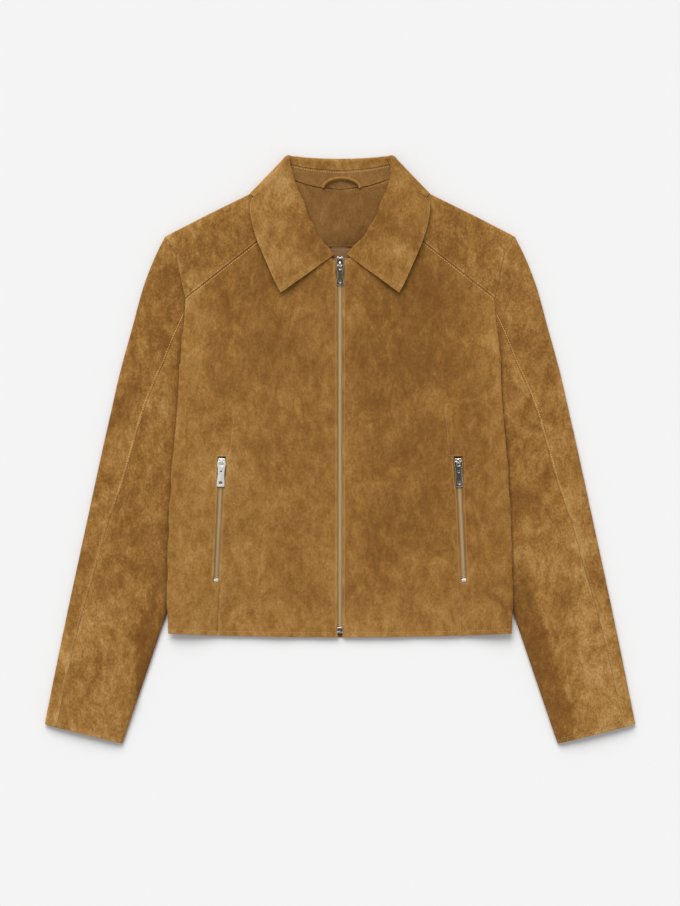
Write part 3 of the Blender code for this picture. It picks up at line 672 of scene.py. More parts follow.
def shell(name, node, base, material, wear_and_highlight=0, wall=WALL, keep=None, rounding=None, tone=None):
    """A sheet of cloth with its real wall and rounded edges, in place of a CAD node."""
    columns, rows = base.shape[:2]
    count = columns * rows
    normals = grid_normals(base)
    away = edge_distance(base) if rounding is None else rounding
    turned = EDGE_ROUND * (1 - quarter(away, EDGE_ROUND))
    outer = base - normals * turned[..., None]
    inner = base - normals * (wall - turned * 0.7)[..., None]
    index = np.arange(count).reshape(columns, rows)
    quads = np.stack([index[:-1, :-1], index[1:, :-1], index[1:, 1:], index[:-1, 1:]], -1)
    if keep is not None:
        quads = quads[keep]
    quads = quads.reshape(-1, 4)
    edges = np.concatenate([quads[:, [i, (i + 1) % 4]] for i in range(4)])
    key = np.sort(edges, 1)
    _, back, counts = np.unique(key[:, 0] * count + key[:, 1], return_inverse=True,
                                return_counts=True)
    rim = edges[counts[back] == 1]
    rims = np.stack([rim[:, 1], rim[:, 0], rim[:, 0] + count, rim[:, 1] + count], 1)
    faces = np.concatenate([quads, quads[:, ::-1] + count, rims])
    vertices = np.concatenate([outer.reshape(-1, 3), inner.reshape(-1, 3)])
    used = np.zeros(len(vertices), bool)
    used[faces.ravel()] = True
    renumber = np.cumsum(used) - 1
    tone = patched(base) if tone is None else tone
    tone = np.concatenate([tone.ravel(), tone.ravel() - 0.04])[used]
    wear_and_highlight = np.tile(np.broadcast_to(wear_and_highlight, away.shape).ravel(), 2)[used]
    mesh = soft_mesh(name, vertices[used], renumber[faces].tolist(), tone, wear_and_highlight)
    piece(name, mesh, material, node)


def tube_faces(rings, sides):
    """Faces of a closed tube whose points come ring by ring."""
    faces = []
    for i in range(rings - 1):
        for j in range(sides):
            k = (j + 1) % sides
            faces.append([i * sides + j, i * sides + k, (i + 1) * sides + k, (i + 1) * sides + j])
    return faces + [list(range(sides))[::-1], list(range((rings - 1) * sides, rings * sides))]


def together(parts):
    """Join parts, each its points and its faces."""
    faces, count = [], 0
    for points, part_faces in parts:
        faces += [[f + count for f in face] for face in part_faces]
        count += len(points)
    return np.concatenate([points for points, _ in parts]), faces


def stitches(name, lines, material):
    """Rows of stitches. Each line is its points, in millimetres, and the cloth's normals there."""
    sides, rings = 6, 5
    place = np.repeat(np.linspace(-1, 1, rings), sides)
    angle = np.tile(np.arange(sides) * 2 * math.pi / sides, rings)
    girth = STITCH_RADIUS * (np.sqrt(np.maximum(0, 1 - place**4)) * 0.85 + 0.15)
    bow = 0.24 * (1 - place**2) - 0.1
    template = np.stack([place * STITCH_LENGTH / 2, np.cos(angle) * girth,
                         np.sin(angle) * girth + bow])
    faces = tube_faces(rings, sides)
    parts = []
    for points, normals in lines:
        runs = run_along(points)
        number = max(1, int(runs[-1] / STITCH_PITCH))
        middles = (np.arange(number) + 0.5) * runs[-1] / number

        def read(values, at):
            return np.stack([np.interp(at, runs, values[:, i]) for i in range(3)], 1)

        along = unit(read(points, middles + 0.6) - read(points, middles - 0.6))
        side = unit(np.cross(read(normals, middles), along))
        slant = 0.1
        frames = np.stack([along + side * slant, side, np.cross(along, side)], 1)
        for centre, axes in zip(read(points, middles), frames):
            parts.append((centre + template.T @ axes, faces))
    piece(name, soft_mesh(name, *together(parts)), material)


def surface_line(plan, height, side=1):
    """A line over a height, with the cloth's normals along it, turned to its side."""
    plan = np.array(plan, float)
    runs = run_along(plan)
    fine = np.linspace(0, runs[-1], max(2, int(runs[-1] / 1.5)))
    x, y = np.interp(fine, runs, plan[:, 0]), np.interp(fine, runs, plan[:, 1])
    h = 0.8
    slope_x = (height(x + h, y) - height(x - h, y)) / (2 * h)
    slope_y = (height(x, y + h) - height(x, y - h)) / (2 * h)
    normals = unit(np.stack([-slope_x, -slope_y, np.ones_like(x)], 1))
    return np.stack([x, y, height(x, y)], 1) * (side, 1, 1), normals * (side, 1, 1)


def allowance(name, points, normals, material):
    """The folded seam allowance that shows through a seam, as a narrow strip beneath it."""
    across = unit(np.cross(normals, np.gradient(points, axis=0)))
    offsets = np.linspace(-4, 4, 9)[:, None, None]
    base = points + across * offsets - normals * (1.5 + 0.02 * offsets**2)
    if grid_normals(base)[..., 2].mean() < 0:
        base = base[::-1]
    shell(name, None, base, material, wall=THIN_WALL)


# ---------------------------------------------------------------- body panels


def front_top_edge(x):
    neck = through([FRONT_EDGE_X, 32, NECK_X], [FRONT_NECK_Y, 245, YOKE_NECK[1]], x)
    return np.where(x < NECK_X, neck, yoke_y(x))


def armhole_pull(x, y, side):
    """How far a front or a yoke sinks at the armhole seam."""
    return 0.7 * bell(off_line(ARMHOLE_LINE, x, y), 2.5) * (1 + 0.2 * ripple(y, 2 * side))


def seam_pull(x, y, side):
    """How far a front sinks at its seams and stitch lines."""
    drop = 0.8 * bell(off_line(YOKE_LINE, x, y), 2.2) * (1 + 0.15 * ripple(x, side))
    drop += armhole_pull(x, y, side)
    dart = x - curve(DART, y)
    upper = smooth((DART_TOP - y) / 40) * smooth((y - POCKET_HIGH + 2) / 6)
    lower = smooth((POCKET_LOW + 2 - y) / 6)
    drop += (upper + 1.4 * lower) * (0.85 * bell(dart, 1.2) - 0.3 * bell(dart + 5, 4))
    edge = x - front_edge(y)
    pucker = 0.2 * ripple(y, 3 * side) * smooth(edge / 2) * fade(edge, 9)
    drop += 0.28 * bell(edge - EDGE_STITCH, 0.75) + pucker
    hem = above_hem(x, y)
    pucker = 0.22 * ripple(x, side) * fade(hem, 11) * smooth(hem / 3)
    drop += 0.3 * bell(hem - HEM_STITCH, 0.9) + pucker
    hem_wave = np.sin(x / 13.5 + 1.3 * side) + 0.6 * np.sin(x / 8.1 + 2)
    drop += 0.35 * hem_wave * fade(np.maximum(hem, 0), 26)
    slot = slot_distance(x, y)
    return drop + 0.26 * bell(slot - SEAM_STITCH, 0.7) + 0.15 * ripple(y, side + 1) * fade(slot, 5)


def slot_distance(x, y):
    """Distance from the pocket opening."""
    across = np.maximum(0, np.abs(x - pocket_x(y)) - pocket_half(y))
    along = np.maximum(0, np.maximum(POCKET_LOW - y, y - POCKET_HIGH))
    return np.hypot(across, along)


def front_height(side, x, y):
    """Height of a front's outer face."""
    clear = 1 - smooth((y - 170) / 40) * smooth((125 - x) / 20)
    drape = creased(x, y, CHEST_CREASES[side]) * clear
    return body_face(x, y, True) - drape - seam_pull(x, y, side)


def pocket_side(hand):
    """One edge of the pocket opening: -1 towards the centre, 1 towards the side."""
    return lambda y: pocket_x(y) + hand * pocket_half(y)


def make_front(side, node, material):
    lines = [front_edge, partial(curve, DART), pocket_side(-1), pocket_side(1), side_x]
    width = 130
    to_dart = 1 - np.array((4.6, 3, 1.9, 1.1, 0.5, 0)) / width
    spans = [with_end(steps(width, 2.9, fine_end=False), to_dart), (0, 0.25, 0.5, 0.75, 1),
             (0, 0.1, 0.3, 0.5, 0.7, 0.9, 1), steps(56, 2.9)]
    ends = [len(spans[0]) - 1, len(spans[1]) - 1, len(spans[2]) - 1, len(spans[3])]
    which = np.repeat(np.arange(4), ends)
    part = np.concatenate([span[:end] for span, end in zip(spans, ends)])[:, None]
    low = heights(HEM_Y, POCKET_LOW, 2.9, (0, 0.2, 0.5, 0.9, 1.5, 2.3, 3.2, 4.2, 4.8, 5.3))
    mid = heights(POCKET_LOW, POCKET_HIGH, 2.9)
    high = heights(POCKET_HIGH, FRONT_NECK_Y, 2.9)
    level = np.concatenate([low, mid[1:], high[1:]])[None, :]
    slope_from = 10
    ease_low = 1 - smooth((level - HEM_Y) / 50)
    ease_high = smooth((level - slope_from) / (FRONT_NECK_Y - slope_from))
    y = np.repeat(level, len(which), 0)
    for _ in range(12):
        at = np.stack([line(y) for line in lines])
        row = np.arange(len(which))
        x = mix(at[which, row], at[which + 1, row], part)
        y = level + (linear(HEM, x) - HEM_Y) * ease_low
        y = y + (front_top_edge(x) - FRONT_NECK_Y) * ease_high
    base = np.stack([x, y, front_height(side, x, y)], -1)
    keep = np.ones((len(which) - 1, level.size - 1), bool)
    first, last = ends[0] + ends[1], ends[0] + ends[1] + ends[2]
    keep[first:last, len(low) - 1:len(low) + len(mid) - 2] = False  # the pocket opening
    slot = slot_distance(x, y)
    away = np.minimum(edge_distance(base), slot)
    hem = above_hem(x, y)
    edge = x - front_edge(y)
    dart_on = np.where(y < DART_TOP, 1, bell(y - DART_TOP, 14))
    wear_and_highlight = 0.1 * fade(edge, 6) + 0.16 * fade(edge, 1.3) + 0.09 * fade(hem, 5)
    wear_and_highlight += 0.12 * fade(off_line(ARMHOLE_LINE, x, y), 7) + 0.1 * fade(slot, 3.5)
    wear_and_highlight += 0.08 * fade(np.abs(x - curve(DART, y)), 3) * dart_on + 0.1 * fade(away, 1.2)
    wall = mix(WALL, HEM_WALL, np.maximum(smooth((8 - hem) / 1.5), smooth((5 - edge) / 1.5)))
    away, keep, wear_and_highlight, wall = (grid[::side] for grid in (away, keep, wear_and_highlight, wall))
    base = base[::side] * (side, 1, 1)
    shell(node + "_suede", node, base, material, wear_and_highlight, wall, keep, away)


def make_front_stitches(side, node, material):
    def up(line, low, high, count):
        return [(line(y), y) for y in np.linspace(low, high, count)]

    lines = [
        [(x, linear(HEM, x) + HEM_STITCH) for x in np.linspace(9, 204, 60)],
        up(lambda y: front_edge(y) + EDGE_STITCH, -221, 222, 60),
        up(lambda y: curve(DART, y) - 1.9, POCKET_HIGH, DART_TOP, 20),
        up(lambda y: curve(DART, y) - 1.9, -220, POCKET_LOW, 20),
        up(lambda y: pocket_side(-1)(y) - SEAM_STITCH, POCKET_LOW - 2, POCKET_HIGH + 2, 30),
        up(lambda y: pocket_side(1)(y) + SEAM_STITCH, -161, -3, 30),
    ]
    for end in (POCKET_LOW - SEAM_STITCH, POCKET_HIGH + SEAM_STITCH):
        lines.append([(pocket_side(hand)(end), end) for hand in (-1, 1)])
    height = partial(front_height, side)
    stitches(node + "_stitches", [surface_line(line, height, side) for line in lines],
             material)


def yoke_height(side, x, y):
    """Height of a yoke's outer face."""
    seam = off_line(YOKE_LINE, x, y)
    drop = creased(x, y, YOKE_CREASES[side]) * smooth((x - 112) / 12)
    drop += 0.3 * bell(seam - SEAM_STITCH, 0.8) + 0.16 * ripple(x, side) * fade(seam, 6)
    return body_face(x, y, True) + 0.25 * fade(seam, 3) - drop - armhole_pull(x, y, side)


def make_yoke(side, node, material):
    part = steps(132, 2.9)[:, None]
    rows = steps(66, 2.9)
    level = np.concatenate([rows[rows < 0.82], 1 - FOLD_STEPS[::-1] / 66])[None, :]
    x = np.repeat(mix(NECK_X, 200, part), level.size, 1)
    for _ in range(40):
        y = mix(yoke_y(x) + GAP * 1.2, linear(SHOULDER, x), level)
        x = mix(NECK_X, np.where(y > YOKE_CORNER[1], side_x(y), YOKE_CORNER[0]), part)
    y = mix(yoke_y(x) + GAP * 1.2, linear(SHOULDER, x), level)
    base = np.stack([x, y, yoke_height(side, x, y)], -1)
    away = edge_distance(base)
    wear_and_highlight = 0.14 * fade(off_line(YOKE_LINE, x, y), 3) + 0.08 * fade(away, 1.5)
    wear_and_highlight += 0.12 * fade(off_line(ARMHOLE_LINE, x, y), 7)
    wear_and_highlight += 0.05 * fade(off_line(SHOULDER, x, y), 8)
    shell(node + "_suede", node, base[::side] * (side, 1, 1), material, wear_and_highlight[::side],
          rounding=away[::side])


def make_yoke_stitches(side, node, material):
    line = np.array(YOKE_LINE, float)
    run = line[1] - line[0]
    line += np.array([run[1], -run[0]]) / np.linalg.norm(run) * SEAM_STITCH
    row = surface_line(line, partial(yoke_height, side), side)
    stitches(node + "_stitches", [row], material)


def make_body_allowances(side, word, material):
    """Allowances under the yoke seam and round the armhole."""
    def face(x, y):
        return body_face(x, y, True)

    yoke = surface_line([YOKE_NECK, (184, 183.4)], face, side)
    y = np.linspace(152, 252, 50)
    x = side_x(y)
    arm = np.stack([side * x, y, face(x, y) - 0.5], 1)
    up = np.broadcast_to((0.0, 0.0, 1.0), arm.shape)
    allowance(f"yoke_{word}_allowance", *yoke, material)
    allowance(f"armhole_{word}_allowance", arm, up, material)


def make_back(material):
    part = steps(400, 4.2, (0, 0.12, 0.4, 0.9, 1.6, 2.4, 3.3, 4.6, 6.4))[:, None]
    high_y = BACK_NECK[0][1]
    level = heights(HEM_Y, high_y, 4.2, (0, 0.3, 0.9, 1.9, 3, 4.4, 5.2, 6.2))[None, :]
    y = np.repeat(level, part.size, 0)
    rise = (level - HEM_Y) / (high_y - HEM_Y)
    ease_low, ease_high = 1 - smooth(rise / 0.2), smooth((rise - 0.35) / 0.65)
    for _ in range(40):
        x = mix(-side_x(y), side_x(y), part)
        out = np.abs(x)
        top = np.where(out < NECK_X, curve(BACK_NECK, out), linear(SHOULDER, out))
        y = level + (linear(HEM, out) - HEM_Y) * ease_low + (top - high_y) * ease_high
    hem = above_hem(x, y)
    sink = creased(x, y, BACK_CREASES, 0.6) * smooth((200 - out) / 30)
    z = body_face(x, y, False) + np.maximum(sink, 0) + 0.25 * bell(hem - HEM_STITCH, 0.9)
    base = np.stack([x, y, z], -1)[::-1]
    away = edge_distance(base)
    wall = mix(WALL, HEM_WALL, smooth((8 - hem[::-1]) / 1.5))
    shell("back_panel_suede", "back_panel", base, material, 0.08 * fade(away, 3), wall,
          rounding=away)


# ---------------------------------------------------------------- sleeves

SLEEVE_RINGS = np.array([  # outer x, y, inner x, y, armhole curve left, down at outer, at inner
    (210, 256, 193, 105, 1, 0, 0),
    (221.5, 233, 190.5, 94, 0.62, 0.35, 0.8),
    (235, 199, 187, 79, 0.3, 0.8, 1),
    (250, 145, 182, 62, 0.08, 1, 1),
    (259, 113, 174, 43, 0, 1, 1),
    (266.5, 84, 163, 20, 0, 1, 1),
    (273, 55, 158, -4, 0, 1, 1),
    (285, 2, 165, -60, 0, 1, 1),
    (306, -95, 187, -133, 0, 1, 1),
    (330, -207, 222, -237, 0, 1, 1),
    (355, -330, 261.5, -353.4, 0, 1, 1),
], float)
SLEEVE_SEAM = [  # y, x
    (-345, 343), (-331, 340), (-260, 325), (-196, 309), (-131, 290), (-91, 279), (-41, 261),
    (8, 247), (55, 232.5), (83, 221), (105, 211), (125, 203), (142, 196), (160, 188), (200, 170),
    (256, 145),
]
HIDDEN_SEAM = 0.75
RING_KEYS = run_along((SLEEVE_RINGS[:, :2] + SLEEVE_RINGS[:, 2:4]) / 2)
SLEEVE_LENGTH = RING_KEYS[-1]


def armhole_point(part):
    """A plan point on the armhole seam, from the shoulder tip to the armpit."""
    y = mix(SHOULDER_TIP[1], ARMHOLE[0][0], part)
    return curve(ARMHOLE, y), y


def sleeve_point(key, part, top, side, plain=False):
    """Points on a sleeve: distance down it, place from outer to inner fold, front or back."""
    ring = through(RING_KEYS, SLEEVE_RINGS, key)
    ox, oy, ix, iy, bow, down_out, down_in = np.moveaxis(ring, -1, 0)
    x0, y0 = armhole_point(part)
    x1, y1 = armhole_point(np.clip(part + 0.01, 0, 1))
    x2, y2 = armhole_point(np.clip(part - 0.01, 0, 1))
    length = np.maximum(np.hypot(x1 - x2, y1 - y2), 1e-6)
    gap = GAP * 1.3 * (1 - smooth(key / 14))
    x = mix(ox, ix, part) + bow * (x0 - mix(SHOULDER_TIP[0], ARMHOLE[0][1], part))
    y = mix(oy, iy, part)
    x, y = x - (y1 - y2) / length * gap, y + (x1 - x2) / length * gap
    width = np.hypot(ox - ix, oy - iy)
    away = np.minimum(part, 1 - part) * width
    reach = SLEEVE_HALF * quarter(away, SOFT_FOLD if top else SLEEVE_HALF)
    slab = SLEEVE_HALF + (reach if top else -reach)
    down = mix(down_out, down_in, smooth(part))
    z = mix(body_face(x0, y0, top), slab, down)
    if plain:
        return x, y, z
    cuff = SLEEVE_LENGTH - key
    if top:
        clear = smooth((x - side_x(np.clip(y, -221, 256)) - 2) / 12)
        crown = 1.5 * np.sin(math.pi * np.clip(part, 0, 1)) ** 0.8 * smooth(key / 60)
        folds = creased(x, y, SLEEVE_CREASES[side])
        folds += 0.75 * bell(key, 2.6) * (1 + 0.2 * ripple(y, side))
        folds += 0.22 * ripple(part * 100, side) * fade(cuff, 12)
        inward, strength = folded(x, y, side)
        folds += strength * 1.5 * smooth(inward / 4) * fade(np.maximum(inward, 0), 22)
        folds -= strength * 0.8 * bell(inward + 4, 7)
        z = z + (crown - folds) * np.where(y > 100, 1, clear)
        z = z - 0.25 * bell(cuff - HEM_STITCH, 0.9) * smooth(away / 3)
    else:
        z = z + 0.2 * bell(cuff - HEM_STITCH, 0.9) * smooth(away / 5)
    return x, y, z


def seam_places(keys):
    """Where the diagonal seam crosses each ring."""
    low, high = np.full(keys.shape, 0.02), np.full(keys.shape, 0.98)
    for _ in range(40):
        part = (low + high) / 2
        x, y, _ = sleeve_point(keys, part, True, 1, True)
        outside = x > curve(SLEEVE_SEAM, y)
        low, high = np.where(outside, part, low), np.where(outside, high, part)
    return part


def sleeve_grid(keys, places, top, side):
    """Points of the front or the back of a sleeve piece, at rows of places round it."""
    places = np.broadcast_to(places, (len(places), len(keys)))
    return np.stack(sleeve_point(np.broadcast_to(keys, places.shape), places, top, side), -1)


def make_sleeve(side, word, materials):
    """Both pieces of a sleeve. Each turns over a folded side from the front to the back."""
    cuff_steps = (0, 0.2, 0.5, 0.9, 1.5, 2.4, 3.4, 4.4, 5.2, 6, 7.2)
    keys = steps(SLEEVE_LENGTH, 3.0, cuff_steps) * SLEEVE_LENGTH
    keys[-1] = SLEEVE_LENGTH
    seam = seam_places(keys)
    gap = GAP / 110  # the pieces' gap as a share of the sleeve's width
    back, outer, inner = 85, 62, 46  # about how far across each part is
    turn = np.concatenate([[0, 0.01, 0.02], np.linspace(0.05, 0.86, 16),
                           1 - FOLD_STEPS[::-1] / back])
    below = (1 - turn)[:, None] * (HIDDEN_SEAM - 4.5 * gap)
    fold = FOLD_STEPS / back
    front = steps(outer, 2.8)
    front = np.concatenate([fold[:-1], front[front > fold[-1]]])
    upper = np.concatenate([sleeve_grid(keys, below, False, side)[:-1],
                            sleeve_grid(keys, front[:, None] * (seam - gap), True, side)])
    front = with_end(steps(inner, 2.8), 1 - FOLD_STEPS[::-1] / inner)
    turn = np.concatenate([[0], FOLD_STEPS[1:8] / 28, [0.4, 0.55, 0.7, 0.85, 0.97, 1]])
    below = 1 - turn[:, None] * (1 - (HIDDEN_SEAM + 4.5 * gap))
    under = np.concatenate([sleeve_grid(keys, mix(seam + gap, 1, front[:, None]), True, side)[:-1],
                            sleeve_grid(keys, below, False, side)])
    for part, grid, material in (("upper", upper, materials[0]), ("under", under, materials[1])):
        grid = grid[::side] * (side, 1, 1)
        away = edge_distance(grid)
        cuff = edge_distance(grid, "d")
        seam_away = edge_distance(grid, "a" if (part == "upper") == (side < 0) else "b")
        wear_and_highlight = 0.11 * fade(cuff, 4) + 0.09 * fade(seam_away, 3) + 0.08 * fade(away, 1.2)
        wear_and_highlight += 0.09 * fade(edge_distance(grid, "c"), 4)
        x, y = side * grid[..., 0], grid[..., 1]
        # The lower sleeve's fold: a painted highlight along its crest, and painted shade over the
        # facet inside it.
        inward, strength = folded(x, y, side)
        wear_and_highlight += 0.15 * strength * bell(inward, 1.4)
        inside = smooth((inward + 1) / 3) * fade(np.maximum(inward, 0), 45)
        # Painted shade on the sleeve beside the body's side line, where the body's edge steps down
        # onto it.
        crease = fade(np.maximum(x - side_x(y), 0), 3) * smooth((240 - y) / 60)
        body_edge_shade = 0.26 if side > 0 else 0.46  # painted shade along the body's side
        tone = patched(grid) - 0.26 * strength * inside - body_edge_shade * crease
        node = f"sleeve_{word}_{part}"
        wall = mix(WALL, HEM_WALL, smooth((8 - cuff) / 1.5))
        shell(node + "_suede", node, grid, material, wear_and_highlight, wall, None, away, tone)
    return keys, seam


def make_sleeve_stitches(side, word, keys, seam, materials, suede_under):
    on = (seam > 0.03) & (seam < 0.97) & (keys > 3)
    rings = SLEEVE_RINGS[:, :2] - SLEEVE_RINGS[:, 2:4]
    widths = np.hypot(*through(RING_KEYS, rings, keys).T)
    part, keys, seam = (seam - 2.2 / widths)[on], keys[on], seam[on]
    upper = keys < 260
    around = np.linspace(0.06, 0.94, 60)
    cuff = np.full(60, SLEEVE_LENGTH - HEM_STITCH)
    made = []
    for key, place, top in ((keys[upper], part[upper], True), (keys[~upper], part[~upper], True),
                            (cuff, around, True), (cuff, around, False), (keys, seam, True)):
        points = np.stack(sleeve_point(key, place, top, side), -1)
        across = np.stack(sleeve_point(key, place + 0.01, top, side), -1) - points
        down = np.stack(sleeve_point(key - 2, place, top, side), -1) - points
        normals = unit(np.cross(across, down))
        normals *= np.sign(normals[:, 2:3]) * (1 if top else -1)
        made.append((points * (side, 1, 1), normals * (side, 1, 1)))
    stitches(f"sleeve_{word}_stitches", made[:1], materials[0])
    stitches(f"cuff_{word}_stitches", made[1:-1], materials[1])
    allowance(f"sleeve_{word}_allowance", *made[-1], suede_under)


# ---------------------------------------------------------------- collar

LEAF = [  # roll x left, roll x right, roll y, edge x, edge y, neck x, neck y
    (7, -5.5, 235, 71, 188, 9.5, 230),
    (12.5, -12, 241, 78, 201, 21, 237.5),
    (23.2, -21, 253, 85, 217, 32, 244.8),
    (35, -30.6, 270, 92.5, 234, 48, 255.4),
    (46.5, -41, 293.5, 100.5, 254, 65.1, 268),
    (56, -50.4, 316, 107, 279, 65.2, 290),
    (60, -57, 334, 107.5, 297, 64.8, 310),
]
CREASE_ROLL, CREASE_EDGE = (63, 354.4), (108.2, 307.6)
BACK_FOLD_Y, BACK_FALL_Y = 349.5, 275
COLLAR_MID = 5.4
COLLAR_WALL = 1.5
OUTER_LAYER, CREST_LAYER, SEAM_LAYER, NECK_LAYER = 4.65, 1.55, 2.2, 2.8
NECK_SEAM_GAP = 0.5
BACK_RISE = 2.6  # how far the fold climbs behind the neck
HINGE_NECK = (63.4, 327)
STRIP = 0.34
ROLL_SOFT = 1.55  # how far the roll sinks below the leaf
TURNS = (90, 60, 30, 0, -30, -60, -90)
CREASE_WAY = (Vector(CREASE_EDGE) - Vector(CREASE_ROLL)).normalized()
OUTWARD = Vector((-CREASE_WAY.y, CREASE_WAY.x))


def collar_sections(side):
    """Sections of one side: roll, outer edge, neck seam, and the turn of the fold."""
    reach = OUTER_LAYER + COLLAR_WALL / 2
    sections = []
    for roll_left, roll_right, roll_y, edge_x, edge_y, neck_x, neck_y in LEAF:
        roll_x = roll_left if side > 0 else -roll_right
        sections.append(((roll_x, roll_y), (edge_x, edge_y), (neck_x, neck_y), 90))
    roll, edge = (tuple(Vector(end) - OUTWARD * reach) for end in (CREASE_ROLL, CREASE_EDGE))
    for turn in TURNS:
        rise = BACK_RISE * smooth(-turn / 90)
        sections.append(((roll[0], roll[1] + rise), edge, HINGE_NECK, turn))
    for part in (0.18, 0.38, 0.58, 0.79, 1):
        keep = 1 - part
        fold = (roll[0] * keep, mix(BACK_FOLD_Y, roll[1] + BACK_RISE, keep * keep))
        fall = (edge[0] * keep, mix(BACK_FALL_Y, edge[1], keep * keep))
        neck_x = HINGE_NECK[0] * keep
        neck = (neck_x, float(linear(BACK_NECK, neck_x)) + NECK_SEAM_GAP)
        sections.append((fold, fall, neck, -90))
    return sections


def layered(plan, layer, turn, on_front):
    """A point of the collar, from its place in plan and its layer about the crease."""
    angle = math.radians(turn)
    x = plan[0] + OUTWARD.x * layer * math.cos(angle)
    y = plan[1] + OUTWARD.y * layer * math.cos(angle)
    if turn < 90:
        return x, y, COLLAR_MID + layer * math.sin(angle)
    return x, y, float(body_top(x, y)) + on_front


def fall_section(roll, edge, neck, turn):
    """One section: the inner strip, the round fold, then the leaf or the fall."""
    away = (roll - edge).normalized()
    bend = (OUTER_LAYER - CREST_LAYER) / 2
    roll = roll - away * (bend + COLLAR_WALL / 2)
    crest_low = -COLLAR_WALL / 2 - (NECK_LAYER - CREST_LAYER)
    seam_low = -COLLAR_WALL / 2 - (NECK_LAYER - SEAM_LAYER)
    leaf_high = COLLAR_WALL / 2 + 0.5
    middle = (SEAM_LAYER + CREST_LAYER) / 2
    points = [(roll.lerp(neck, STRIP), SEAM_LAYER, seam_low),
              (roll.lerp(neck, STRIP / 2), middle, (seam_low + crest_low) / 2)]
    for step in (-90, -40, 5, 45):
        swing = math.radians(step)
        layer = (OUTER_LAYER + CREST_LAYER) / 2 + bend * math.sin(swing)
        rise = mix(crest_low, leaf_high - ROLL_SOFT, 0.5 + 0.5 * math.sin(swing))
        points.append((roll + away * bend * math.cos(swing), layer, rise))
    lift = mix(4.6, 1.9, smooth((edge.y - 235) / 60))
    for part in (0, 0.14, 0.42, 0.72, 1):
        puff = 0.6 * math.sin(math.pi * part * 0.8) + lift * part**1.8 if turn == 90 else 0
        puff *= 1 - smooth((edge.y - 268) / 36)
        puff -= ROLL_SOFT * max(0, 1 - part / 0.3) ** 2
        points.append((roll.lerp(edge, part), OUTER_LAYER, leaf_high + puff))
    return [layered(plan, layer, turn, rise) for plan, layer, rise in points]


def stand_section(roll, edge, neck, turn):
    """One section of the stand, from the strip's edge to the neck seam."""
    away = (roll - edge).normalized()
    roll = roll - away * ((OUTER_LAYER - CREST_LAYER + COLLAR_WALL) / 2)
    length = (neck - roll).length
    start = STRIP + max(0.45 / length, 0.42 if turn > 0 else 0)
    points = []
    for part in (0, 0.5, 1):
        spot = roll.lerp(neck, mix(start, 1 - GAP / length, part))
        layer = mix(SEAM_LAYER, NECK_LAYER, part)
        points.append(layered(spot, layer, turn, -COLLAR_WALL / 2 - (NECK_LAYER - layer)))
    return points


def whole_collar(make_section):
    """Coarse grid of the collar, from the left front end to the right front end."""
    left, right = (np.array([make_section(*map(Vector, plan), turn)
                             for *plan, turn in collar_sections(side)]) for side in (1, -1))
    return np.concatenate([left, right[-2::-1] * (-1, 1, 1)])


def refined(grid, along, across):
    """Resample a coarse grid on smooth curves, at places from 0 to 1 in both directions."""
    wide = []
    for line in grid:
        runs = run_along(line)
        wide.append(through(runs, line, across * runs[-1]))
    wide = np.array(wide)
    mean = np.linalg.norm(np.diff(wide, axis=0), axis=2).mean(1)
    runs = np.concatenate([[0], np.cumsum(mean)])
    return through(runs, wide, along * runs[-1])


def make_collar(outside, inside, thread_tan):
    width, inset = 640, 6  # its length along the edge, and the grid lines outside the stitches
    along, across = steps(width, 3), steps(132, 2.6)
    grid = refined(whole_collar(fall_section), along, across)
    run = along[:, None] * width
    away, edge, from_seam = (edge_distance(grid, sides) for sides in ("abcd", "d", "c"))
    stitched = np.minimum(edge_distance(grid, "ab"), edge)
    on_leaf = smooth((across[None, :] - 0.3) / 0.05)
    dent = 0.25 * bell(stitched - EDGE_STITCH, 0.8) + 0.16 * ripple(run, 2) * fade(edge, 6)
    wave = 0.5 * np.sin(run / 17) * fade(edge, 20)
    leaf = (grid[..., 1] < 300) & (grid[..., 2] > 5)
    rise = COLLAR_WALL / 2 - (dent + wave * leaf) * on_leaf
    base = grid + grid_normals(grid) * rise[..., None]
    base[..., 2] = np.maximum(0.02, base[..., 2])
    # Paler along the stitched edge, the cut edges and the roll's crest: partly rubbed wear, partly
    # painted highlight.
    wear_and_highlight = 0.15 * fade(stitched, 2) * on_leaf + 0.12 * fade(away, 1)
    wear_and_highlight += 0.04 * fade(np.abs(from_seam - 21), 5)
    x, y = base[..., 0], base[..., 1]
    # Painted light: paler on the side towards the key light (x below 0). Painted shade: darker
    # over the roll, where the collar turns in towards the neck.
    tone = patched(base) + 0.1 + 0.08 * smooth(-x / 30) * (y < 350)
    tone -= 0.13 * bell(np.maximum(0, from_seam - 22), 11) * smooth((310 - y) / 40)
    shell("collar_fall_suede", "collar_fall", base, outside, wear_and_highlight, COLLAR_WALL, tone=tone)
    normals = grid_normals(base)
    outer = len(across) - 1 - inset
    start = int(np.searchsorted(across, 0.26))
    rows = [(slice(inset, -inset), outer), (inset, slice(start, outer)),
            (-inset - 1, slice(start, outer))]
    stitches("collar_fall_stitches", [(base[row], normals[row]) for row in rows], thread_tan)
    grid = refined(whole_collar(stand_section), steps(420, 3), steps(24, 2))
    base = grid + grid_normals(grid) * COLLAR_WALL / 2
    wear_and_highlight = 0.05 * fade(edge_distance(base, "cd"), 1.6)
    shell("collar_stand_suede", "collar_stand", base, inside, wear_and_highlight, COLLAR_WALL,
          tone=patched(base) + 0.1)
    row = (slice(inset, -inset), inset)
    stitches("collar_stand_stitches", [(base[row], grid_normals(base)[row])], thread_tan)


# ---------------------------------------------------------------- inside of the neck

FACING_ROWS = [(243.3, 41), (262, 47), (285, 54), (305, 59), (320, 61)]  # y, half width
FACING_RISE, LINING_RISE = 3.4, 3.0  # of their outer faces above the back's underside
THIN_WALL = 0.6  # the lining, and a skived seam allowance


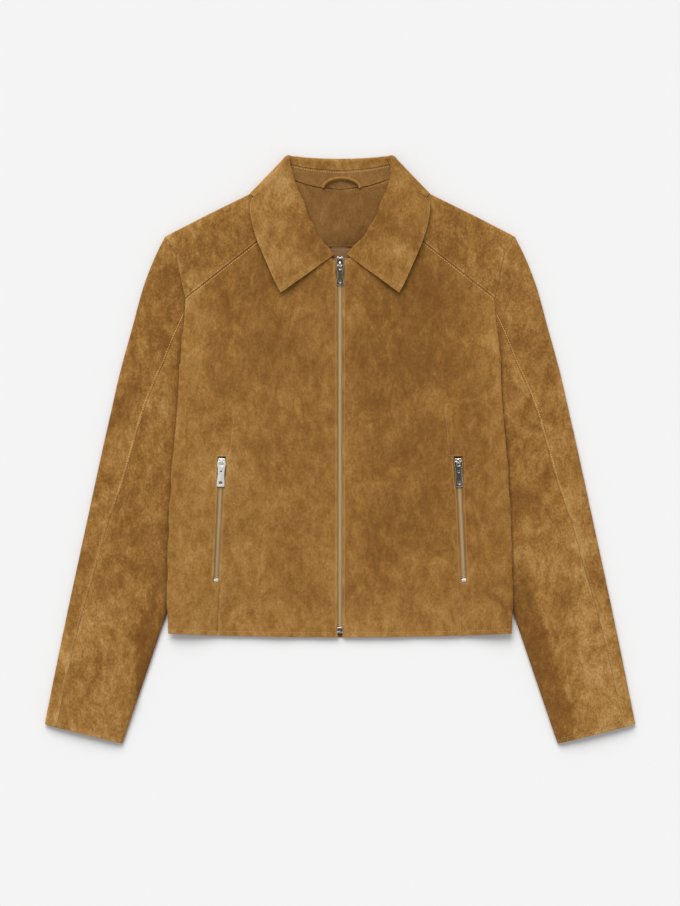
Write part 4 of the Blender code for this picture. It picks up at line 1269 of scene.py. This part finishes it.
def make_neck(inside, lining):
    s, t = steps(100, 3)[:, None], steps(76, 3)[None, :]
    low_y = FACING_ROWS[0][0]
    half = linear(FACING_ROWS, mix(low_y, FACING_ROWS[-1][0], t))
    x = mix(-half, half, s)
    y = mix(low_y, linear(BACK_NECK, np.abs(x * 0.8)) + 0.05, t)
    lower = np.abs(y - low_y)
    z = body_lift(x, y) + FACING_RISE + 0.25 * np.sin(x / 15 + 1) * smooth(lower / 20)
    z += 0.35 * np.sin(x / 9 - 1) * fade(lower, 25) - 0.3 * bell(lower - 3, 1)
    base = np.stack([x, y, z], -1)
    wear_and_highlight = 0.06 * fade(edge_distance(base), 2)
    # Darker towards the bottom, with a band of painted shade along the lower edge where the facing
    # curves down.
    tone = patched(base) - 0.04 - 0.03 * smooth((300 - y) / 60) - 0.14 * fade(lower, 5)
    shell("neck_facing_suede", "neck_facing", base, inside, wear_and_highlight, 1.1, tone=tone)
    x, y = np.meshgrid(np.linspace(-34, 34, 36), np.linspace(212, 243, 18), indexing="ij")
    z = body_lift(x, y) + LINING_RISE + 0.3 * np.sin(x / 7 + y / 12)
    shell("back_lining_cloth", "back_lining", np.stack([x, y, z], -1), lining, wall=THIN_WALL)


def make_loop(material):
    """The hanger loop: a rolled suede cord with a raised seam, let into the neck seam."""
    count, sides = 90, 20
    angle = np.linspace(0, math.pi, count)
    path = np.stack([
        1.8 - 22.2 * np.cos(angle) * (1 - 0.12 * np.sin(angle)),
        313.9 + 12 * np.abs(np.sin(angle)) ** 0.75,
        6.15 + 0.5 * np.sin(angle),
    ], 1)
    along = unit(np.gradient(path, axis=0))
    side = unit(np.cross(along, (0, 0, 1.0)))
    over = np.cross(side, along)
    turn = np.arange(sides) * 2 * math.pi / sides
    run = run_along(path)
    ends = 1 - 0.3 * fade(np.minimum(run, run[-1] - run), 3)
    swell = 1.82 * (1 + 0.035 * ripple(run, 1))
    radius = swell[:, None] * (1 + 0.06 * bell(turn - 0.7, 0.3))[None, :]
    flatten = np.where(np.sin(turn) > 0, 1, 0.95)[None, :] * ends[:, None]
    points = path[:, None] + side[:, None] * (np.cos(turn) * radius)[..., None]
    points = points + over[:, None] * (np.sin(turn) * radius * flatten)[..., None]
    # Paler on top of the cord and darker underneath: painted light and shade.
    tone = np.tile(0.56 + 0.05 * np.sin(turn), count)
    mesh = soft_mesh("hanger_loop_suede", points.reshape(-1, 3), tube_faces(count, sides), tone,
                     0 * tone)
    piece("hanger_loop_suede", mesh, material, "hanger_loop")


# ---------------------------------------------------------------- zips

CHAIN_DROP, TAPE_DROP = 0.4, 2.3
CHAIN_HALF = 2.8
TAPE_INNER = 1.1  # the tape's edge, clamped in the teeth
TOOTH_PITCH = 2.43
TOOTH_HALF = 1.1  # half a tooth's height


def zip_axes(line):
    """Directions along a zip and across it, and its length."""
    run = np.array([line[2] - line[0], line[3] - line[1]], float)
    length = np.linalg.norm(run)
    along = run / length
    return along, np.array([along[1], -along[0]]), length


def make_tape(node, line, inner, outer, material, before, after):
    """A woven strip beside the chain, with a rolled bead along the chain."""
    along, across, length = zip_axes(line)
    places = np.linspace(-before, length + after, int(length / 2.5))
    o, p = np.meshgrid(np.linspace(inner, outer, 13), places, indexing="ij")
    x = line[0] + along[0] * p + across[0] * o
    y = line[1] + along[1] * p + across[1] * o
    bead = CHAIN_HALF + 0.5 - np.abs(o)
    z = body_top(x, y) - TAPE_DROP + 1.1 * smooth(bead / 1.6) - 0.06
    tone = -0.6 * smooth(bead / 0.5)  # painted shade where the tape runs in between the teeth
    shell(node + "_cloth", node, np.stack([x, y, z], -1), material, wall=0.5, tone=tone)


def tooth(hand):
    """One metal tooth: a clamp on the tape's bead and a rounded head past the middle."""
    bm = bmesh.new()
    clamp = (0.6, 2.75, 0.6, 0.05)
    head = (-0.95, 1.2, 0.46, 0) if hand > 0 else (-0.95, 1.2, 0.34, 0.16)
    for low, high, half, drop in (clamp, head):
        size = (high - low, half * 2, (TOOTH_HALF - drop) * 2)
        matrix = Matrix.Translation(((low + high) / 2, 0, 0)) @ Matrix.Diagonal((*size, 1))
        made = bmesh.ops.create_cube(bm, size=1, matrix=matrix)
        edges = list(dict.fromkeys(e for vertex in made["verts"] for e in vertex.link_edges))
        bmesh.ops.bevel(bm, geom=edges, offset=0.2, segments=2, affect="EDGES", profile=0.6)
    bmesh.ops.triangulate(bm, faces=bm.faces)
    bm.verts.index_update()
    vertices = np.array([vertex.co for vertex in bm.verts])
    faces = [[vertex.index for vertex in face.verts] for face in bm.faces]
    bm.free()
    return vertices, faces


def make_chain(node, line, material):
    along, across, length = zip_axes(line)
    teeth = {hand: tooth(hand) for hand in (1, -1)}
    parts = []
    number = int(length / TOOTH_PITCH)
    for i in range(number):
        for hand, (template, faces) in teeth.items():
            place = (i + (0.25 if hand > 0 else 0.75)) * length / number
            x, y = line[0] + along[0] * place, line[1] + along[1] * place
            rise = (body_top(x, y + 1) - body_top(x, y - 1)) / 2
            tilt = (body_top(x + across[0] * 2, y) - body_top(x - across[0] * 2, y)) / 4
            flat = template[:, :2] @ (across * hand, along * hand)
            tall = template[:, 2:] + (flat @ across * tilt + flat @ along * rise)[:, None]
            z = body_top(x, y) - CHAIN_DROP - TOOTH_HALF
            parts.append((np.concatenate([flat + (x, y), tall + z], 1), faces))
    piece(node + "_teeth", soft_mesh(node + "_teeth", *together(parts), flat=True), material, node)


def rounded_outline(points, radius, count=5):
    """A closed outline with its corners rounded."""
    made = []
    total = len(points)
    for i in range(total):
        before, here, after = (Vector(points[(i + k) % total]) for k in (-1, 0, 1))
        first, second = before - here, after - here
        reach = min(radius, first.length * 0.49, second.length * 0.49)
        start, end = here + first.normalized() * reach, here + second.normalized() * reach
        for step in range(count):
            t = step / (count - 1)
            made.append(start * (1 - t) ** 2 + here * 2 * t * (1 - t) + end * t * t)
    return [(point.x, point.y) for point in made]


def plate(name, outlines, thickness, bevel):
    """A flat plate with holes and softly rounded edges, in its own frame, in millimetres."""
    data = bpy.data.curves.new(name, "CURVE")
    data.dimensions = "2D"
    data.fill_mode = "BOTH"
    data.extrude = (thickness / 2 - bevel) * MM
    data.bevel_depth = bevel * MM
    data.bevel_resolution = 2
    data.offset = -bevel * MM
    for outline in outlines:
        spline = data.splines.new("POLY")
        spline.points.add(len(outline) - 1)
        for point, (x, y) in zip(spline.points, outline):
            point.co = (x * MM, y * MM, 0, 1)
        spline.use_cyclic_u = True
    holder = linked(name, data)
    bpy.context.view_layer.update()
    made = holder.evaluated_get(bpy.context.evaluated_depsgraph_get())
    mesh = bpy.data.meshes.new_from_object(made)
    bpy.data.objects.remove(holder)
    bm = bmesh.new()
    bm.from_mesh(mesh)
    bmesh.ops.remove_doubles(bm, verts=bm.verts, dist=0.00001)
    return bm


def placed(bm, target, matrix=Matrix()):
    """Move a part into its frame and add it to the target bmesh."""
    bm.transform(matrix)
    mesh = bpy.data.meshes.new("part")
    bm.to_mesh(mesh)
    bm.free()
    target.from_mesh(mesh)
    bpy.data.meshes.remove(mesh)


def shifted(y, z):
    return Matrix.Translation((0, y * MM, z * MM))


def block(size, centre, bevel):
    """A box with rounded edges, in millimetres."""
    bm = bmesh.new()
    stretch = Matrix.Diagonal((*(side * MM for side in size), 1))
    bmesh.ops.create_cube(bm, size=1, matrix=Matrix.Translation(Vector(centre) * MM) @ stretch)
    bmesh.ops.bevel(bm, geom=bm.edges[:], offset=bevel * MM, segments=3, affect="EDGES",
                    profile=0.5)
    return bm


def oblong(half, low, high):
    return [(-half, low), (half, low), (half, high), (-half, high)]


def arch(width, points, thickness):
    """A bent bar across the slider: its middle line in the upright plane, in millimetres."""
    line = through(range(len(points)), points, np.linspace(0, len(points) - 1, 29))
    along = unit(np.gradient(line, axis=0))
    section = rounded_outline(oblong(width / 2, -thickness / 2, thickness / 2), 0.45, 3)
    bm = bmesh.new()
    for (y, z), (ay, az) in zip(line, along):
        for x, h in section:
            bm.verts.new(Vector((x, y - az * h, z + ay * h)) * MM)
    bm.verts.ensure_lookup_table()
    for face in tube_faces(len(line), len(section)):
        bm.faces.new([bm.verts[i] for i in face])
    bmesh.ops.recalc_face_normals(bm, faces=bm.faces)
    return bm


def zip_matrix(x, y, turn):
    """The frame of a slider: on the suede's level, its hinge at the origin."""
    slope = (body_top(x + 3, y) - body_top(x - 3, y)) / 6
    rise = (body_top(x, y + 6) - body_top(x, y - 6)) / 12
    level = Matrix.Rotation(-math.atan(slope), 4, "Y") @ Matrix.Rotation(math.atan(rise), 4, "X")
    here = Vector((x, y, body_top(x, y))) * MM
    return Matrix.Translation(here) @ Matrix.Rotation(turn, 4, "Z") @ level


def solid_piece(node, bm, matrix, material, body="jacket"):
    """A metal part, moved to its place, in place of its CAD node."""
    bm.transform(matrix)
    bmesh.ops.recalc_face_normals(bm, faces=bm.faces)
    mesh = bpy.data.meshes.new(node + "_metal")
    bm.to_mesh(mesh)
    bm.free()
    mesh.shade_smooth()
    mesh.set_sharp_from_angle(angle=math.radians(38))
    piece(node + "_metal", mesh, material, node, body=body)


def make_slider(node, matrix, material, slide=0):
    """Slider body: shouldered top plate, lower plate, post, side flanges and the bridge."""
    target = bmesh.new()
    shape = [(-4.5, 8.4), (-3.6, 10.6), (-1.5, 10.7), (-0.9, 9.3), (0.9, 9.3), (1.5, 10.7),
             (3.6, 10.6), (4.5, 8.4), (4.3, 2), (3.7, -3.8), (-3.7, -3.8), (-4.3, 2)]
    placed(plate("top", [rounded_outline(shape, 1.2)], 1.1, 0.45), target, shifted(slide, 0.4))
    low = [(x * 0.93, 4.6 + (y - 3.45) * 0.76) for x, y in shape]
    placed(plate("low", [rounded_outline(low, 1)], 0.56, 0.15), target, shifted(slide, -3.3))
    for side in (1, -1):  # flange and dome
        placed(block((1.1, 11.6, 1.5), (3.8 * side, 3.9, -0.5), 0.3), target, shifted(slide, 0))
        placed(block((2.8, 3, 1.3), (2.5 * side, 9, 1.1), 0.6), target, shifted(slide, 0))
    placed(block((2.7, 3.2, 4.1), (0, 8.1, -1.4), 0.4), target, shifted(slide, 0))
    bridge = [(-1.75, 0.8), (-1.7, 2.4), (-0.6, 3.45), (1.2, 3.6), (3, 3.4), (4, 2.3), (4.1, 0.8)]
    placed(arch(2.3, bridge, 0.95), target)
    solid_piece(node, target, matrix, material)


HINGE_RISE = 1.95
PULL_WALL = 1.2
POCKET_SLIDE = -6.3  # the pocket sliders sit below their pulls' hinges
MAIN_HINGE = (0, 220.8)
MAIN_TAPE, POCKET_TAPE = 14.6, 5.7  # outer edges, from the chain's middle


def make_pull(node, matrix, material, body, length, width, hole):
    """A waisted pull tab with an eye round the bridge, a slot and a hole near its end."""
    w = width / 2
    long = length > 26
    if long:
        right = [(0.9, 0.6), (1, -3), (0.8, -9), (0.74, -15), (0.86, -22), (0.92, -length)]
    else:
        right = [(0.92, 0.6), (0.98, -5), (0.66, -8), (0.66, -13.5), (1, -17.5), (1, -length)]
    right = [(x * w, y) for x, y in right]
    shape = [(-right[0][0], right[0][1]), *right, *((-x, y) for x, y in right[:0:-1])]
    end = -length + 2.6 + hole / 2
    turns = [2 * math.pi * i / 20 for i in range(20)]
    outlines = [rounded_outline(shape, 1.6), rounded_outline(oblong(2.05, -0.6, -4.9), 0.8),
                [(hole / 2 * math.cos(turn), end + hole / 2 * math.sin(turn)) for turn in turns]]
    if long:
        outlines.append(rounded_outline(oblong(1, -10.9, -12.9), 0.5))
    target = bmesh.new()
    placed(plate("tab", outlines, PULL_WALL, 0.4), target)
    lean = math.asin((HINGE_RISE - PULL_WALL / 2 - 0.45) / length)
    pivot = shifted(0, HINGE_RISE) @ Matrix.Rotation(lean, 4, "X")
    solid_piece(node, target, matrix @ pivot, material, body)


def make_stop(node, line, length, width, material):
    """The metal box or stop that ends a zip at the bottom."""
    along, _, _ = zip_axes(line)
    x, y = line[:2] - along * (length / 2 + GAP)
    target = bmesh.new()
    placed(block((width, length, 1.7), (0, 0, -0.6), 0.4), target)
    if width > 6:
        placed(block((1.1, length * 0.8, 0.5), (0, 0.4, 0.35), 0.2), target)
        placed(block((width * 0.9, 0.9, 0.5), (0, -length * 0.3, 0.35), 0.2), target)
    turn = math.atan2(along[1], along[0]) - math.pi / 2
    solid_piece(node, target, zip_matrix(x, y, turn), material)


# ---------------------------------------------------------------- the sheets' cut sizes

SHEETS = [  # name, width, length and area in metres, and what it lies on
    ("back_panel_suede", 0.464, 0.557, 0.2113, ("Floor",)),
    ("collar_fall_suede", 0.086, 0.5, 0.0323, ("yoke_left_suede", "yoke_right_suede")),
    ("collar_stand_suede", 0.022, 0.405, 0.0033, ("back_panel_suede",)),
    ("neck_facing_suede", 0.124, 0.08, 0.0074, ("back_panel_suede",)),
    ("back_lining_cloth", 0.068, 0.031, 0.0021, ("back_panel_suede",)),
]
SIDE_SHEETS = [
    ("front_{}_suede", 0.219, 0.492, 0.0883, ("back_panel_suede",)),
    ("yoke_{}_suede", 0.081, 0.163, 0.0099, ("back_panel_suede",)),
    ("sleeve_{}_upper_suede", 0.217, 0.605, 0.0662, ("sleeve_{}_under_suede",)),
    ("sleeve_{}_under_suede", 0.136, 0.521, 0.0542, ("Floor",)),
    ("zip_tape_{}_cloth", 0.0138, 0.452, 0.0062, ("back_panel_suede",)),
    ("pocket_{}_tape_outer_cloth", 0.01, 0.152, 0.0008, ("front_{}_suede",)),
    ("pocket_{}_tape_inner_cloth", 0.01, 0.152, 0.0008, ("front_{}_suede",)),
]


def declare_sheets():
    """Every sheet of cloth, with the size it was cut to and what it lies on, gathered into a list
    that nothing reads.
    """
    sheets = [(entry, "") for entry in SHEETS]
    sheets += [(entry, word) for entry in SIDE_SHEETS for word in WORDS.values()]


# ---------------------------------------------------------------- put together

WORDS = {1: "left", -1: "right"}


def make_side(side, word, inside, golden, tan, deep):
    """A front, its yoke and its sleeve."""
    name, shift = word.capitalize(), {1: (1.3, 4.1, 6.2, 7.7), -1: (2.9, 5.7, 8.4, 9.6)}[side]
    front = suede(f"SuedeFront{name}", SUEDE_TONES, shift[0])
    yoke = suede(f"SuedeYoke{name}", SUEDE_TONES, shift[1], 1.3, 0.4 * side)
    sleeve = [suede(f"SuedeSleeve{name}{part}", SUEDE_TONES, seed, 1.3, 0.22 * side)
              for part, seed in (("Upper", shift[2]), ("Under", shift[3]))]
    make_front(side, f"front_{word}", front)
    make_front_stitches(side, f"front_{word}", deep)
    make_yoke(side, f"yoke_{word}", yoke)
    make_yoke_stitches(side, f"yoke_{word}", tan)
    keys, seam = make_sleeve(side, word, sleeve)
    make_sleeve_stitches(side, word, keys, seam, (golden, deep), inside)
    make_body_allowances(side, word, inside)


def make_pocket_zip(side, word, tape, teeth, lit_nickel, slider_metal):
    x0, y0, x1, y1 = POCKET_ZIP
    line = (x0 * side, y0, x1 * side, y1)
    prefix = f"pocket_{word}"
    make_tape(prefix + "_tape_outer", line, TAPE_INNER, POCKET_TAPE, tape, 4, 8)
    make_tape(prefix + "_tape_inner", line, -POCKET_TAPE, -TAPE_INNER, tape, 4, 8)
    make_chain(prefix + "_chain", line, teeth)
    make_stop(prefix + "_stop", line, 3.4, 5.4, lit_nickel)
    turn = math.atan2(line[3] - line[1], line[2] - line[0]) - math.pi / 2
    hinge = zip_matrix(line[2] - math.sin(turn) * 0.3, line[3] + math.cos(turn) * 0.3, turn)
    make_slider(prefix + "_slider", hinge, slider_metal, POCKET_SLIDE)
    make_pull(prefix + "_pull", hinge, slider_metal, word + "_pull", 30, 10.4, 4)


def main():
    set_stage()
    inside = suede("SuedeInside", INSIDE_TONES, 12.8, 0.7)
    tan = thread("ThreadTan", (0.5, 0.3, 0.105), (0.74, 0.5, 0.22))
    golden = thread("ThreadGolden", (0.6, 0.34, 0.085), (0.85, 0.53, 0.17))
    deep = thread("ThreadDeep", (0.34, 0.18, 0.055), (0.52, 0.32, 0.12))
    tape = zip_tape("ZipTapeWoven")
    teeth = metal("ZipTeethAntique", (0.52, 0.34, 0.15), (0.73, 0.52, 0.27), 0.34, 0.5, 700, 0.45)
    nickel = metal("NickelAged", (0.36, 0.32, 0.27), (0.86, 0.8, 0.7), 0.12, 0.24)
    # A paler, less metallic copy of the nickel, painted bright to stand for the bright reflection
    # on the right pocket's slider and pull; the pocket stops use it too.
    lit_nickel = metal("NickelLitCopy", (0.7, 0.67, 0.63), (0.95, 0.93, 0.9), 0.42, 0.56, 500, 0.85)

    for side, word in WORDS.items():
        make_side(side, word, inside, golden, tan, deep)
    make_back(suede("SuedeBack", SUEDE_TONES, 11.2))
    make_collar(suede("SuedeCollar", SUEDE_TONES, 10.5, 1.1, 0.5), inside, tan)
    make_neck(inside, cloth_lining("LiningTwill"))
    make_loop(suede("SuedeLoop", SUEDE_TONES, 14.1, 0.7))

    make_tape("zip_tape_left", MAIN_ZIP, TAPE_INNER, MAIN_TAPE, tape, 9, 3)
    make_tape("zip_tape_right", MAIN_ZIP, -MAIN_TAPE, -TAPE_INNER, tape, 9, 3)
    make_chain("zip_chain", MAIN_ZIP, teeth)
    make_stop("zip_box", MAIN_ZIP, 7, 7.4, nickel)
    hinge = zip_matrix(*MAIN_HINGE, 0)
    make_slider("zip_slider", hinge, nickel)
    make_pull("zip_pull", hinge, nickel, "main_pull", 23.5, 8.6, 3.4)
    for side, word in WORDS.items():
        make_pocket_zip(side, word, tape, teeth, lit_nickel, nickel if side > 0 else lit_nickel)
    declare_sheets()


main()
